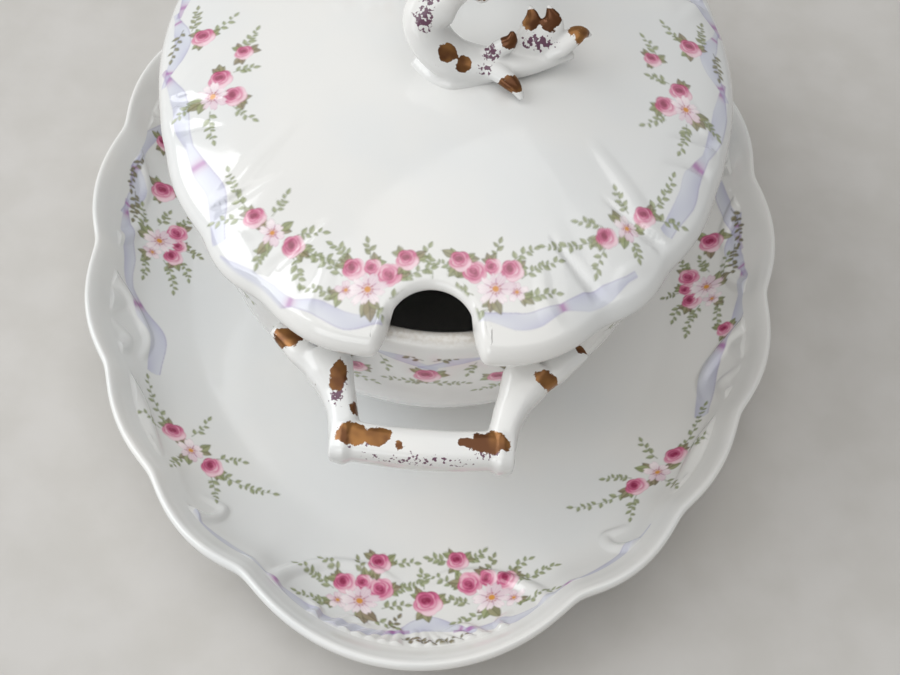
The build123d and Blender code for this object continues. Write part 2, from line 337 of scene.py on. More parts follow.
    def blossom(self, x, y, radius, turn=0.0, count=6):
        """An open dog rose: pale petals streaked with mauve, and a ring of red stamens."""
        rows, columns, dx, dy = self.window(x, y, radius * 1.1, radius * 1.1)
        angle = np.arctan2(dy, dx) - math.radians(turn)
        away = np.hypot(dx, dy)
        angle = angle + 0.10 * np.sin(3 * angle + turn)
        sector = np.abs(np.cos(count * angle / 2))
        uneven = 0.96 + 0.12 * np.cos(2 * angle + turn) + 0.08 * np.cos(5 * angle)
        reach = radius * uneven * (0.46 + 0.54 * sector ** 0.5 - 0.10 * (sector > 0.97))
        pale, mauve = ink("faeef0"), ink("b06a92")
        gap = 0.9 * np.exp(-(sector * away * 6 / count / 0.22) ** 2)
        streak = 0.5 + 0.5 * np.cos(angle * count * 4)
        vein = 0.75 * np.clip(1 - away / (0.80 * radius), 0, 1) * streak
        rim = 0.65 * np.clip(1 - (reach - away) / 0.24, 0, 1)
        blush = 0.40 * np.clip(np.cos(angle - 2.0), 0, 1) * np.clip(away / radius, 0, 1)
        colour = pale + (mauve - pale) * np.clip(gap + vein + rim + blush, 0, 1)[..., None]
        self.lay(rows, columns, colour, (reach - away) * 7)
        heart = np.clip((0.17 * radius - away) * 6 + 0.5, 0, 1)
        self.lay(rows, columns, np.broadcast_to(ink("d9963f"), colour.shape), heart)
        dots = np.exp(-((away - 0.27 * radius) / 0.17) ** 2) * (np.cos(angle * 11) > 0.0)
        self.lay(rows, columns, np.broadcast_to(ink("b0472a"), colour.shape), dots * 0.9)

    def bunch(self, flowers):
        """Flowers (kind, x, y, radius) with leaves, some gone brown, standing out all round."""
        middle = np.mean([flower[1:3] for flower in flowers], 0)
        for kind, x, y, radius in flowers:
            away = np.array((x, y)) - middle
            lone = np.hypot(*away) < 1.0
            count = 2 if lone else 3
            for heading in (20, 140, 255) if lone else (math.degrees(math.atan2(*away[::-1])),):
                start = (
                    x + 0.55 * radius * math.cos(math.radians(heading)),
                    y + 0.55 * radius * math.sin(math.radians(heading)),
                )
                for index in range(count):
                    turn = (index - (count - 1) / 2) * 42.0 + self.chance.uniform(-9, 9)
                    age = self.chance.uniform(0, 1)
                    body = ink("a0a87c") * (1 - age) + ink("988a70") * age
                    edge = ink("5f6a3c") * (1 - age) + ink("574636") * age
                    size = (0.7 * radius + 0.9) * self.chance.uniform(0.8, 1.2)
                    self.leaf(*start, heading + turn, size, size * 0.6, body, edge, 0.85)
        for index, (kind, x, y, radius) in enumerate(flowers):
            turn = 70.0 * index + 25.0
            if kind == "blossom":
                self.blossom(x, y, radius, turn, count=9 if radius > 3.6 else 6)
            elif kind == "pale":
                self.blossom(x, y, radius, turn, count=5)
            else:
                self.rose(x, y, radius, turn)

    def ribbon(self, line, widths, twist=()):
        """A ribbon of lavender silk: widths along its run, and where it twists over itself."""
        line = smooth_line(line)
        share = np.linspace(0.0, 1.0, len(line))
        half = np.interp(share, np.linspace(0, 1, len(widths)), widths) / 2
        ahead = np.gradient(line, axis=0)
        ahead /= np.linalg.norm(ahead, axis=1, keepdims=True)
        low, high = line.min(0), line.max(0)
        middle, reach = (low + high) / 2, (high - low) / 2 + half.max() + 0.5
        rows, columns, dx, dy = self.window(*middle, *reach)
        x, y = dx + middle[0], dy + middle[1]
        near, nearest = np.full(x.shape, 99.0), np.zeros(x.shape, int)
        keep = half.max() + 0.6
        for start in range(0, len(line), 24):
            chunk = line[start:start + 24]
            box = (x > chunk[:, 0].min() - keep) & (x < chunk[:, 0].max() + keep)
            box &= (y > chunk[:, 1].min() - keep) & (y < chunk[:, 1].max() + keep)
            away = np.hypot(x[box][:, None] - chunk[:, 0], y[box][:, None] - chunk[:, 1])
            best = away.argmin(1)
            distance = away[np.arange(len(best)), best]
            closer = distance < near[box]
            near[box] = np.where(closer, distance, near[box])
            nearest[box] = np.where(closer, best + start, nearest[box])
        from_x, from_y = x - line[nearest, 0], y - line[nearest, 1]
        side = ahead[nearest, 0] * from_y - ahead[nearest, 1] * from_x
        inside = np.where(near < keep, half[nearest] - np.abs(side), -1.0)
        across = side / np.maximum(half[nearest], 0.1)
        run = share[nearest]
        fill, shade, edge, lilac = ink("c9cee0"), ink("a9a9cc"), ink("7a69a6"), ink("a4559c")
        fold = np.clip(0.5 + 0.5 * across * np.cos(run * 9.0), 0, 1)
        colour = fill + (shade - fill) * fold[..., None] ** 1.5
        cover = np.clip(inside * 7 + 0.5, 0, 1) * (0.48 + 0.20 * fold)
        for centre in twist:
            pull = np.exp(-((run - centre) / 0.035) ** 2)
            colour = colour + (lilac - colour) * (0.9 * pull)[..., None]
            cover = np.maximum(cover, np.clip(inside * 7 + 0.5, 0, 1) * pull * 0.9)
        hem = np.clip(1 - np.abs(inside - 0.12) / 0.15, 0, 1) * (0.38 + 0.5 * (across > 0))
        colour = colour + (edge - colour) * hem[..., None]
        self.lay(rows, columns, colour, np.maximum(cover, hem * (inside > -0.1)))

    def sample(self, x, y):
        """Colour and cover under each place, softened to the grain of a print under glaze."""
        grid = np.concatenate([self.colour * self.cover[..., None], self.cover[..., None]], 2)
        for axis in (0, 1):
            grid = (np.roll(grid, 1, axis) + 2 * grid + np.roll(grid, -1, axis)) / 4
        found = read_sheet(grid, x + self.half_width, y + self.half_height, self.DOTS)
        found[..., :3] /= np.maximum(found[..., 3:], 1e-3)
        return found


def read_sheet(grid, x, y, dots):
    """A sheet's values between its dots, for places measured from its corner."""
    column = np.clip(x * dots - 0.5, 0, grid.shape[1] - 1.001)
    row = np.clip(y * dots - 0.5, 0, grid.shape[0] - 1.001)
    c, r = column.astype(int), row.astype(int)
    fc, fr = (part.reshape(part.shape + (1,) * (grid.ndim - 2)) for part in (column - c, row - r))
    return (
        grid[r, c] * (1 - fc) * (1 - fr) + grid[r, c + 1] * fc * (1 - fr)
        + grid[r + 1, c] * (1 - fc) * fr + grid[r + 1, c + 1] * fc * fr
    )


# The engraver's motifs, laid out from the middle of each: flowers as (kind, outward, along, radius)
# and sprigs as (start, end, bend, pairs of leaves, browned).
BUNCH = (
    (
        ("pale", 1.0, -4.5, 2.5), ("rose", -4.0, -4.0, 2.7), ("bud", -5.0, 0.0, 2.1),
        ("rose", -4.0, 4.0, 2.8), ("blossom", 0.0, 0.0, 4.2),
    ),
    (
        ((-6.0, -4.5), (-9.0, -9.5), 25, 3, 0.1), ((-7.0, -1.0), (-10.5, -2.0), 20, 2, 0.3),
        ((-3.0, 6.0), (-7.5, 12.0), -25, 4, 0.1), ((-2.0, -6.0), (-6.0, -14.5), 25, 5, 0.1),
        ((1.0, 5.0), (-1.0, 9.5), -20, 3, 0.2), ((4.5, 2.0), (5.5, 8.5), -20, 3, 0.1),
        ((3.0, -6.0), (1.5, -13.0), 20, 4, 0.1),
    ),
)
SPRAY = (
    (("rose", 0.0, -6.0, 2.8), ("rose", 0.0, 6.0, 2.8), ("blossom", 0.5, 0.0, 3.4)),
    (
        ((-0.5, 8.5), (-5.0, 20.0), 25, 5, 0.1), ((-0.5, -8.5), (-5.0, -20.0), -25, 5, 0.1),
        ((2.0, 8.0), (5.5, 13.5), -20, 3, 0.1), ((2.0, -8.0), (5.5, -13.5), 20, 3, 0.1),
        ((-2.5, -3.0), (-8.5, -4.0), 20, 3, 0.1), ((-2.5, 5.0), (-6.5, 9.0), -20, 3, 0.1),
        ((3.5, 1.0), (7.5, 2.0), 20, 3, 0.1),
    ),
)
TRIO = (
    (("rose", -1.0, -4.5, 2.7), ("rose", -4.5, 0.5, 2.7), ("blossom", 0.0, 0.0, 3.7)),
    (
        ((0.0, 4.0), (-1.5, 11.5), 20, 4, 0.1), ((-4.5, 3.0), (-9.0, 7.0), 20, 3, 0.1),
        ((3.0, 1.0), (7.0, 4.0), 20, 4, 0.1), ((-3.5, -6.0), (-7.5, -7.0), -20, 3, 0.1),
    ),
)


def print_border(surface, sheet, motifs=(), blooms=(), twigs=(), ribbons=(), both_ends=True):
    """Lays a border on a sheet.  Places are those of the finished piece, seen from above.

    A motif is placed as (motif, x, y, degrees that it faces, 1 or -1 to turn it over, scale).
    """
    def on_sheet(place):
        return surface.sheet_place(sign * place[0], sign * place[1])

    def within(x, y, facing, flip, scale, out, along):
        out, along, turn = out * scale, along * scale * flip, math.radians(facing)
        return (
            x + out * math.cos(turn) - along * math.sin(turn),
            y + out * math.sin(turn) + along * math.cos(turn),
        )

    for sign in (1, -1) if both_ends else (1,):
        for line, widths, twists in ribbons:
            sheet.ribbon([on_sheet(place) for place in line], widths, twists)
        for start, end, bend, pairs, dark in twigs:
            sheet.twig(on_sheet(start), on_sheet(end), bend, pairs, dark)
        for (_, sprigs), *spot in motifs:
            for start, end, bend, pairs, dark in sprigs:
                start, end = (on_sheet(within(*spot, *place)) for place in (start, end))
                sheet.twig(start, end, bend * spot[3], pairs, dark)
        for (flowers, _), *spot in motifs:
            sheet.bunch([
                (kind, *on_sheet(within(*spot, out, along)), radius * spot[4])
                for kind, out, along, radius in flowers
            ])
        for kind, x, y, radius in blooms:
            sheet.bunch([(kind, *on_sheet((x, y)), radius)])


class DishSurface:
    """A scalloped dish worked out on the fine lattice, and how its skin unrolls to a flat sheet."""

    def __init__(self, stations, size, notches, crowns, upper_end):
        self.run, self.length = section_curve(stations, size)
        self.size, self.notches, self.crowns = size, notches, crowns
        self.turn, self.along = fine_lattice()
        self.points = dish_surface(self.turn, self.along, self.run, size, notches, crowns)
        self.upper = slice(0, int(len(self.run) * upper_end))

    def sheet_share(self, along):
        return self.run[0, 0] + along * self.length / (sum(self.size) / 2.0)

    def sheet_place(self, x, y):
        """Where a place of the upper side, seen from above, lies on the unrolled sheet."""
        share, inset, _, depth = self.run[self.upper].T
        turn = math.atan2(y / self.size[1], x / self.size[0])
        along = np.linspace(0.0, self.upper.stop / len(self.run), len(share))
        for _ in range(4):
            out = inset + lobe_reach(turn, self.notches, self.crowns) * depth
            across, long = self.size[0] * share + out, self.size[1] * share + out
            radius = np.hypot(across * math.cos(turn), long * math.sin(turn))
            radius = np.maximum.accumulate(radius)
            found = np.interp(math.hypot(x, y), radius, along)
            turn = math.atan2(
                y / np.interp(found, along, long), x / np.interp(found, along, across)
            )
        share = self.sheet_share(found)
        return self.size[0] * share * math.cos(turn), self.size[1] * share * math.sin(turn)

    def sheet_grid(self):
        share = self.sheet_share(self.along)
        return self.size[0] * share * np.cos(self.turn), self.size[1] * share * np.sin(self.turn)


class ReliefSheet:
    """Raised and sunk work, drawn as soft strokes seen from above, in mm."""

    DOTS = 3

    def __init__(self, half_width, half_height):
        self.half_width, self.half_height = half_width, half_height
        self.height = np.zeros((int(2 * half_height * self.DOTS), int(2 * half_width * self.DOTS)))

    def stroke(self, line, width, height, end_share=0.5):
        """A ridge, or a groove if height is negative, that thins to its end."""
        line = smooth_line(line, 0.5)
        low, high = line.min(0) - width, line.max(0) + width
        first = ((low + (self.half_width, self.half_height)) * self.DOTS).astype(int)
        last = ((high + (self.half_width, self.half_height)) * self.DOTS).astype(int) + 1
        first = np.maximum(first, 0)
        part = self.height[first[1]:last[1], first[0]:last[0]]
        x = (first[0] + np.arange(part.shape[1]) + 0.5) / self.DOTS - self.half_width
        y = (first[1] + np.arange(part.shape[0]) + 0.5) / self.DOTS - self.half_height
        x, y = np.meshgrid(x, y)
        taper = np.linspace(1.0, end_share, len(line))
        swell = np.sin(math.pi * np.clip(np.linspace(0.04, 1.0, len(line)), 0, 1)) ** 0.4
        away = np.hypot(x[..., None] - line[:, 0], y[..., None] - line[:, 1])
        shape = np.clip(1.0 - (away / (width / 2 * taper)) ** 2, 0.0, 1.0) ** 1.5
        ridge = (shape * taper * np.maximum(swell, 0.25)).max(-1) * height
        stronger = np.abs(ridge) > np.abs(part)
        part[...] = np.where(stronger | (height * part < 0), ridge + part * ~stronger, part)

    def everywhere(self, line, width, height, end_share=0.5):
        """The same stroke in all four quarters."""
        for across in (1, -1):
            for long in (1, -1):
                self.stroke([(x * across, y * long) for x, y in line], width, height, end_share)

    def sample(self, x, y):
        return read_sheet(self.height, x + self.half_width, y + self.half_height, self.DOTS)


PLATE_STATIONS = (      # share of the oval, inset, height, depth of the scallops
    (0.30, 0.0, 6.0, 0.0),
    (0.50, 0.0, 6.0, 0.0),
    (0.70, 0.0, 6.02, 0.0),
    (0.80, -3.6, 6.5, 0.15),
    (0.90, -4.0, 9.6, 0.45),
    (0.955, -3.7, 13.6, 0.76),
    (0.98, -3.1, 17.2, 0.92),
    (0.993, -2.2, 20.1, 0.98),
    (1.0, -1.4, 21.6, 1.0),
    (1.0, -0.6, 21.7, 1.0),
    (1.0, -0.15, 20.7, 1.0),
    (0.998, -0.35, 18.6, 0.99),
    (0.97, 0.0, 13.3, 0.85),
    (0.90, 0.0, 6.6, 0.45),
    (0.80, 0.0, 2.9, 0.15),
    (0.70, 0.0, 2.6, 0.0),
    (0.50, 0.0, 2.6, 0.0),
)
PLATE_UPPER_END = 0.50      # share of the section's run where the rim's top has been reached

plate = DishSurface(PLATE_STATIONS, PLATE_OVAL, PLATE_NOTCHES, PLATE_CROWNS, PLATE_UPPER_END)

# The border: motifs and single blooms at their places, then loose sprigs, and ribbons as (line,
# widths, twists).  One end is given, and printed again at the other.
PLATE_MOTIFS = (
    (BUNCH, -10.5, -101.0, -96, 1, 1.0), (BUNCH, 17.5, -98.0, -80, -1, 1.0),
    (SPRAY, -51.0, -67.0, -128, 1, 1.0), (SPRAY, 54.0, -64.0, -49, -1, 1.0),
)
PLATE_BLOOMS = (("bud", -7.0, -90.5, 2.6), ("rose", 4.0, -100.0, 3.2), ("bud", 10.0, -88.5, 2.5))
PLATE_TWIGS = (
    ((-4.5, -91.0), (0.5, -89.5), -30, 3, 0.1), ((8.0, -89.0), (4.0, -88.0), 20, 3, 0.1),
    ((3.0, -96.5), (2.5, -92.5), 20, 3, 0.1), ((12.0, -88.5), (15.5, -86.0), 25, 3, 0.1),
    ((-1.0, -111.0), (5.0, -112.0), -30, 4, 1.0), ((5.0, -112.0), (12.0, -110.0), 30, 4, 0.9),
    ((-4.0, -108.0), (-2.0, -105.0), 20, 2, 0.9),
)
PLATE_RIBBONS = (
    (((-2.0, -109.0), (4.5, -106.0), (12.0, -108.0)), (1.4, 3.4, 4.2, 3.2, 1.4), (0.06, 0.93)),
    (
        ((-2.0, -109.0), (-9.0, -110.0), (-17.0, -108.0), (-25.0, -103.0), (-31.0, -100.0),
         (-38.0, -94.0), (-46.0, -88.0)),
        (0.9, 2.6, 3.2, 3.0, 1.5, 3.4, 3.8, 1.2), (0.02, 0.56),
    ),
    (
        ((12.0, -108.0), (19.0, -106.0), (27.0, -103.0), (33.0, -98.0), (39.0, -95.0),
         (45.0, -91.0), (51.0, -85.0)),
        (0.9, 2.8, 3.2, 3.0, 1.5, 3.4, 3.8, 1.2), (0.02, 0.52),
    ),
    (
        ((-77.0, -2.0), (-75.0, -12.0), (-73.0, -22.0), (-69.0, -31.0),
         (-64.0, -37.0), (-63.0, -46.0)),
        (1.0, 3.4, 3.2, 1.6, 3.6, 3.8, 3.2), (0.03, 0.6),
    ),
    (
        ((77.0, -7.0), (76.0, -17.0), (72.0, -28.0), (68.0, -35.0), (65.0, -48.0)),
        (1.0, 3.6, 3.2, 1.6, 3.8, 4.0, 3.4), (0.03, 0.55),
    ),
)
PLATE_SIDE_MOTIFS = ((BUNCH, -68.5, -7.5, 180, -1, 0.95), (BUNCH, 69.0, -9.0, 0, 1, 0.95))
PLATE_SIDE_BLOOMS = (
    ("rose", -70.0, 8.0, 3.1), ("bud", -72.0, 22.0, 2.2),
    ("rose", 71.0, 5.0, 3.1), ("bud", 72.0, -24.0, 2.2),
)
PLATE_SIDE_TWIGS = (
    ((-76.0, 14.0), (-77.0, 4.0), 20, 5, 0.9), ((-76.0, 4.0), (-75.0, -4.0), -20, 4, 0.8),
    ((-68.0, 10.5), (-64.0, 14.5), 20, 3, 0.1), ((76.0, 12.0), (77.0, 2.0), -20, 5, 0.9),
    ((76.0, 2.0), (75.0, -6.0), 20, 4, 0.8), ((69.0, 7.0), (65.0, 11.0), 20, 3, 0.1),
)
PLATE_SIDE_RIBBONS = (
    (((-77.0, -2.0), (-75.5, 4.0), (-77.0, 11.0)), (1.2, 3.4, 4.0, 3.2, 1.2), (0.07, 0.93)),
    (((77.0, -7.0), (75.5, 0.0), (77.0, 8.0)), (1.2, 3.4, 4.0, 3.2, 1.2), (0.07, 0.93)),
)

plate_sheet = TransferSheet(92.0, 126.0, seed=3, strength=1.0)
print_border(plate, plate_sheet, PLATE_MOTIFS, PLATE_BLOOMS, PLATE_TWIGS, PLATE_RIBBONS)
print_border(
    plate, plate_sheet, PLATE_SIDE_MOTIFS, PLATE_SIDE_BLOOMS, PLATE_SIDE_TWIGS, PLATE_SIDE_RIBBONS,
    both_ends=False,
)

# Rococo work pressed into the border: scrolls at the lobes, curled hollows, a shell at each end.
RELIEF_DEPTH = 1.35         # how boldly the strokes below are cut
plate_relief = ReliefSheet(90.0, 124.0)
for line, width, height in (
    (((74, -30), (78, -38), (76, -46), (71, -46), (70, -41), (73, -38)), 5.5, 1.3),
    (((80, -22), (76, -25), (71, -30), (66, -38), (66, -45)), 4.6, 1.1),
    (((81, -17), (77, -14), (74, -7), (74, 0)), 4.6, 1.0),
    (((70, -52), (65, -57), (61, -64), (57, -72)), 5.2, 1.2),
    (((72, -56), (69, -63), (64, -69), (60, -70), (60, -66)), 5.0, 1.3),
    (((62, -73), (57, -81), (50, -86), (44, -86), (42, -82), (46, -80)), 5.4, 1.3),
    (((57, -84), (49, -92), (41, -96), (34, -96)), 5.0, 1.2),
    (((30, -103), (26, -96), (18, -92), (9, -92), (3, -95)), 5.0, 0.9),
    (((38, -97), (31, -101), (25, -107), (23, -113)), 5.4, 1.3),
    (((27, -112), (22, -110), (19, -106), (21, -103)), 4.6, 1.1),
    (((44, -99), (38, -104), (31, -108)), 4.6, 1.0),
):
    plate_relief.everywhere(line, width, RELIEF_DEPTH * height)
for spread in range(6):
    turn = math.radians(6 + 15 * spread)
    start = (2.0 + 15.0 * math.sin(turn), -118.5 + 9.0 * (1 - math.cos(turn)))
    rib = [start, (start[0] * 0.72, start[1] + 4.2), (start[0] * 0.45, -108.5)]
    plate_relief.everywhere(rib, 4.4, 1.1)

sheet_x, sheet_y = plate.sheet_grid()
plate_print = plate_sheet.sample(sheet_x, sheet_y)
plate_print[..., 3] *= plate.along < PLATE_UPPER_END
lift = plate_relief.sample(plate.points[..., 0], plate.points[..., 1])
lift *= (plate.along < PLATE_UPPER_END) * np.clip((21.5 - plate.points[..., 2]) / 0.8, 0, 1)
plate.points += surface_normals(plate.points) * lift[..., None]


def cell_sizes(cover, lift, plain, rim_rows, rim=1.0, printed=0.29, raised=0.65):
    """The largest cell at each point: fine where there's print, less so on relief and rim."""
    wanted = np.full(cover.shape, plain)
    first, last = (int(share * FINE_ROWS) for share in rim_rows)
    wanted[:, first:last] = np.minimum(wanted[:, first:last], rim)
    wanted[np.abs(lift) > 0.03] = raised
    inked = cover > 0.04
    wanted[inked] = printed
    return wanted


plate_wanted = cell_sizes(plate_print[..., 3], lift, 2.6, (0.40, 0.60))
underplate = lattice_mesh(
    "underplate_glazed", plate.points, plate_wanted,
    lambda points, used: {"print": plate_print[used]},
)
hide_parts("underplate")
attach(underplate, "underplate")


def shader_group(name, inputs, outputs):
    """A node group with its sockets, and its input and output nodes."""
    group = bpy.data.node_groups.new(name, "ShaderNodeTree")
    for label, kind, value in inputs:
        socket = group.interface.new_socket(label, in_out="INPUT", socket_type=kind)
        socket.default_value = value
    for label, kind in outputs:
        group.interface.new_socket(label, in_out="OUTPUT", socket_type=kind)
    return group, group.nodes.new("NodeGroupInput"), group.nodes.new("NodeGroupOutput")


def add_node(tree, kind, settings=None, **inputs):
    """A node with its settings; its inputs are given by name as values or as other sockets."""
    node = tree.nodes.new(kind)
    for setting, value in (settings or {}).items():
        setattr(node, setting, value)
    for label, value in inputs.items():
        index = int(label[1:]) if label[0] == "_" and label[1:].isdigit() else None
        socket = node.inputs[index if index is not None else label.replace("_", " ")]
        if isinstance(value, bpy.types.NodeSocket):
            tree.links.new(value, socket)
        else:
            socket.default_value = value
    return node


def mixed(tree, share, first, second):
    """One colour blended into another."""
    node = tree.nodes.new("ShaderNodeMix")
    node.data_type = "RGBA"
    for index, value in ((0, share), (6, first), (7, second)):
        socket = node.inputs[index]
        if isinstance(value, bpy.types.NodeSocket):
            tree.links.new(value, socket)
        else:
            socket.default_value = value
    return node.outputs[2]


def ramped(tree, value, low, high, to_low=0.0, to_high=1.0):
    """A value run through a soft step."""
    return add_node(
        tree, "ShaderNodeMapRange", {"interpolation_type": "SMOOTHSTEP"},
        Value=value, From_Min=low, From_Max=high, To_Min=to_low, To_Max=to_high,
    ).outputs[0]


# Fired glaze over a white body: cool where it pools, with a few iron specks and a faint ripple.
glaze, glaze_in, glaze_out = shader_group(
    "glazed_porcelain",
    [("Specks", "NodeSocketFloat", 1.0), ("Stain", "NodeSocketFloat", 0.0)],
    [("Color", "NodeSocketColor"), ("Roughness", "NodeSocketFloat"), ("Height", "NodeSocketFloat")],
)
place = add_node(glaze, "ShaderNodeTexCoord").outputs["Object"]
cloud = add_node(glaze, "ShaderNodeTexNoise", Vector=place, Scale=22.0, Detail=3.0).outputs["Fac"]
body = mixed(
    glaze, ramped(glaze, cloud, 0.35, 0.65),
    (0.780, 0.788, 0.782, 1.0), (0.820, 0.810, 0.784, 1.0),
)
spots = add_node(glaze, "ShaderNodeTexVoronoi", Vector=place, Scale=95.0)
rare = add_node(glaze, "ShaderNodeSeparateColor", Color=spots.outputs["Color"]).outputs[0]
speck = add_node(
    glaze, "ShaderNodeMath", {"operation": "MULTIPLY"},
    _0=ramped(glaze, spots.outputs["Distance"], 0.045, 0.02), _1=ramped(glaze, rare, 0.93, 0.935),
).outputs[0]
speck = add_node(
    glaze, "ShaderNodeMath", {"operation": "MULTIPLY"}, _0=speck, _1=glaze_in.outputs["Specks"],
).outputs[0]
body = mixed(glaze, speck, body, (0.16, 0.12, 0.09, 1.0))
grime = add_node(glaze, "ShaderNodeTexNoise", Vector=place, Scale=1200.0, Detail=3.0).outputs["Fac"]
grime = add_node(
    glaze, "ShaderNodeMath", {"operation": "MULTIPLY"},
    _0=ramped(glaze, grime, 0.30, 0.75, 0.35, 1.0), _1=glaze_in.outputs["Stain"],
).outputs[0]
body = mixed(glaze, grime, body, (0.42, 0.33, 0.22, 1.0))
ripple = add_node(glaze, "ShaderNodeTexNoise", Vector=place, Scale=70.0, Detail=1.0).outputs["Fac"]
smudge = add_node(glaze, "ShaderNodeTexNoise", Vector=place, Scale=160.0, Detail=4.0).outputs["Fac"]
glaze.links.new(body, glaze_out.inputs["Color"])
glaze.links.new(ramped(glaze, smudge, 0.35, 0.75, 0.07, 0.17), glaze_out.inputs["Roughness"])
glaze.links.new(ripple, glaze_out.inputs["Height"])


def new_finish(name):
    """A material with its one Principled shader, and the glaze ready to be joined to it."""
    material = bpy.data.materials.new(name)
    material.use_nodes = True
    tree = material.node_tree
    shader = tree.nodes["Principled BSDF"]
    body = tree.nodes.new("ShaderNodeGroup")
    body.node_tree = glaze
    return material, tree, shader, body


def glazed_finish(name, printed=True, stained=False, specks=1.0):
    """Glazed porcelain, with the transfer print under the glaze where the piece carries one."""
    material, tree, shader, body = new_finish(name)
    body.inputs["Specks"].default_value = specks
    colour = body.outputs["Color"]
    if stained:
        stain = add_node(tree, "ShaderNodeAttribute", {"attribute_name": "stain"})
        tree.links.new(stain.outputs["Fac"], body.inputs["Stain"])
    if printed:
        transfer = add_node(tree, "ShaderNodeAttribute", {"attribute_name": "print"})
        colour = mixed(tree, transfer.outputs["Alpha"], colour, transfer.outputs["Color"])
    tree.links.new(colour, shader.inputs["Base Color"])
    tree.links.new(body.outputs["Roughness"], shader.inputs["Roughness"])
    bump = add_node(
        tree, "ShaderNodeBump", Strength=0.10, Distance=0.0006, Height=body.outputs["Height"],
    )
    tree.links.new(bump.outputs["Normal"], shader.inputs["Normal"])
    shader.inputs["IOR"].default_value = 1.52
    shader.inputs["Coat Weight"].default_value = 0.35
    shader.inputs["Coat Roughness"].default_value = 0.04
    return material


printed_porcelain = glazed_finish("printed_porcelain", stained=True)
underplate.data.materials.append(printed_porcelain)

# ---------------------------------------------------------------------------------------------
# Foot ring of the underplate.  A low oval ring turned up under the floor.  Its standing edge was
# wiped clean of glaze so that it would not stick in the kiln, and has taken some dirt since.


def oval_ring(name, half_width, half_length, section, count=160):
    """A ring with an oval path: section gives (inset, height) all round the ring's own outline."""
    points, faces = [], []
    for index in range(count):
        turn = 2 * math.pi * index / count
        for inset, height in section:
            points.append((
                (half_width - inset) * math.cos(turn) * MM,
                (half_length - inset) * math.sin(turn) * MM,
                height * MM,
            ))
    corners = len(section)
    for index in range(count):
        for corner in range(corners):
            a, b = index * corners + corner, index * corners + (corner + 1) % corners
            step = corners if index < count - 1 else corners - count * corners
            faces.append((a, b, b + step, a + step))
    mesh = bpy.data.meshes.new(name)
    mesh.from_pydata(points, [], faces)
    mesh.polygons.foreach_set("use_smooth", [True] * len(faces))
    piece = bpy.data.objects.new(name, mesh)
    bpy.context.scene.collection.objects.link(piece)
    return piece


def foot_section(width, bottom, top, corner=1.1):
    """A foot ring cut across: upright sides and a rounded standing edge."""
    outline = [(0.0, top), (0.0, bottom + corner)]
    for step in range(1, 6):
        turn = math.pi / 2 * step / 5
        outline.append((corner * (1 - math.cos(turn)), bottom + corner * (1 - math.sin(turn))))
    for step in range(0, 6):
        turn = math.pi / 2 * step / 5
        outline.append((
            width - corner * (1 - math.sin(turn)), bottom + corner * (1 - math.cos(turn))
        ))
    return outline + [(width, top)]


bare_porcelain = bpy.data.materials.new("bare_porcelain")
bare_porcelain.use_nodes = True
tree = bare_porcelain.node_tree
place = add_node(tree, "ShaderNodeTexCoord").outputs["Object"]
grain = add_node(tree, "ShaderNodeTexNoise", Vector=place, Scale=900.0, Detail=3.0).outputs["Fac"]
dirt = add_node(tree, "ShaderNodeTexNoise", Vector=place, Scale=130.0, Detail=5.0).outputs["Fac"]
shader = tree.nodes["Principled BSDF"]
tree.links.new(
    mixed(tree, ramped(tree, dirt, 0.42, 0.72), (0.63, 0.61, 0.57, 1), (0.34, 0.28, 0.21, 1)),
    shader.inputs["Base Color"],
)
tree.links.new(ramped(tree, grain, 0.3, 0.7, 0.62, 0.82), shader.inputs["Roughness"])
bump = add_node(tree, "ShaderNodeBump", Strength=0.3, Distance=0.0001, Height=grain)
tree.links.new(bump.outputs["Normal"], shader.inputs["Normal"])

PLATE_FOOT = (54.0, 76.0, 5.0)          # half width, half length, width of the ring
plate_foot = oval_ring(
    "underplate_foot", PLATE_FOOT[0], PLATE_FOOT[1], foot_section(PLATE_FOOT[2], 0.0, 2.6)
)
plate_foot.data.materials.append(bare_porcelain)
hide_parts("underplate_foot_ring")
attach(plate_foot, "underplate")

# ---------------------------------------------------------------------------------------------
# Bowl.  Cast in the same white body, with the lobes of the lid dying away down its belly.  The
# border runs round the outside just under the rim, and the worn rim has browned where the lid sits.

BOWL_OVAL = (57.5, 72.5)
BOWL_NOTCHES = (16.2, 22.7, 41.2, 57.3, 80.5)
BOWL_CROWNS = (1.0, 0.5, 1.3, 2.1, 2.4, 0.5)
BOWL_STATIONS = (
    (0.20, 0.0, 14.15, 0.0),
    (0.42, -2.0, 14.2, 0.0),
    (0.58, -4.2, 15.2, 0.0),
    (0.72, -4.4, 20.6, 0.0),
    (0.85, -4.4, 29.8, 0.1),
    (0.94, -4.4, 40.2, 0.3),
    (0.985, -4.4, 53.0, 0.7),
    (1.0, -4.3, 63.2, 1.0),
    (1.0, -3.5, 65.3, 1.0),
    (1.0, -2.2, 66.0, 1.0),
    (1.0, -0.8, 65.2, 1.0),
    (1.0, -0.1, 63.0, 1.0),
    (0.985, 0.0, 51.8, 0.7),
    (0.94, 0.0, 37.8, 0.3),
    (0.85, 0.0, 26.5, 0.1),
    (0.72, 0.0, 16.3, 0.0),
    (0.58, 0.0, 10.3, 0.0),
    (0.46, 0.0, 9.65, 0.0),
    (0.30, 0.0, 9.65, 0.0),
)
bowl_surface = DishSurface(BOWL_STATIONS, BOWL_OVAL, BOWL_NOTCHES, BOWL_CROWNS, 0.48)

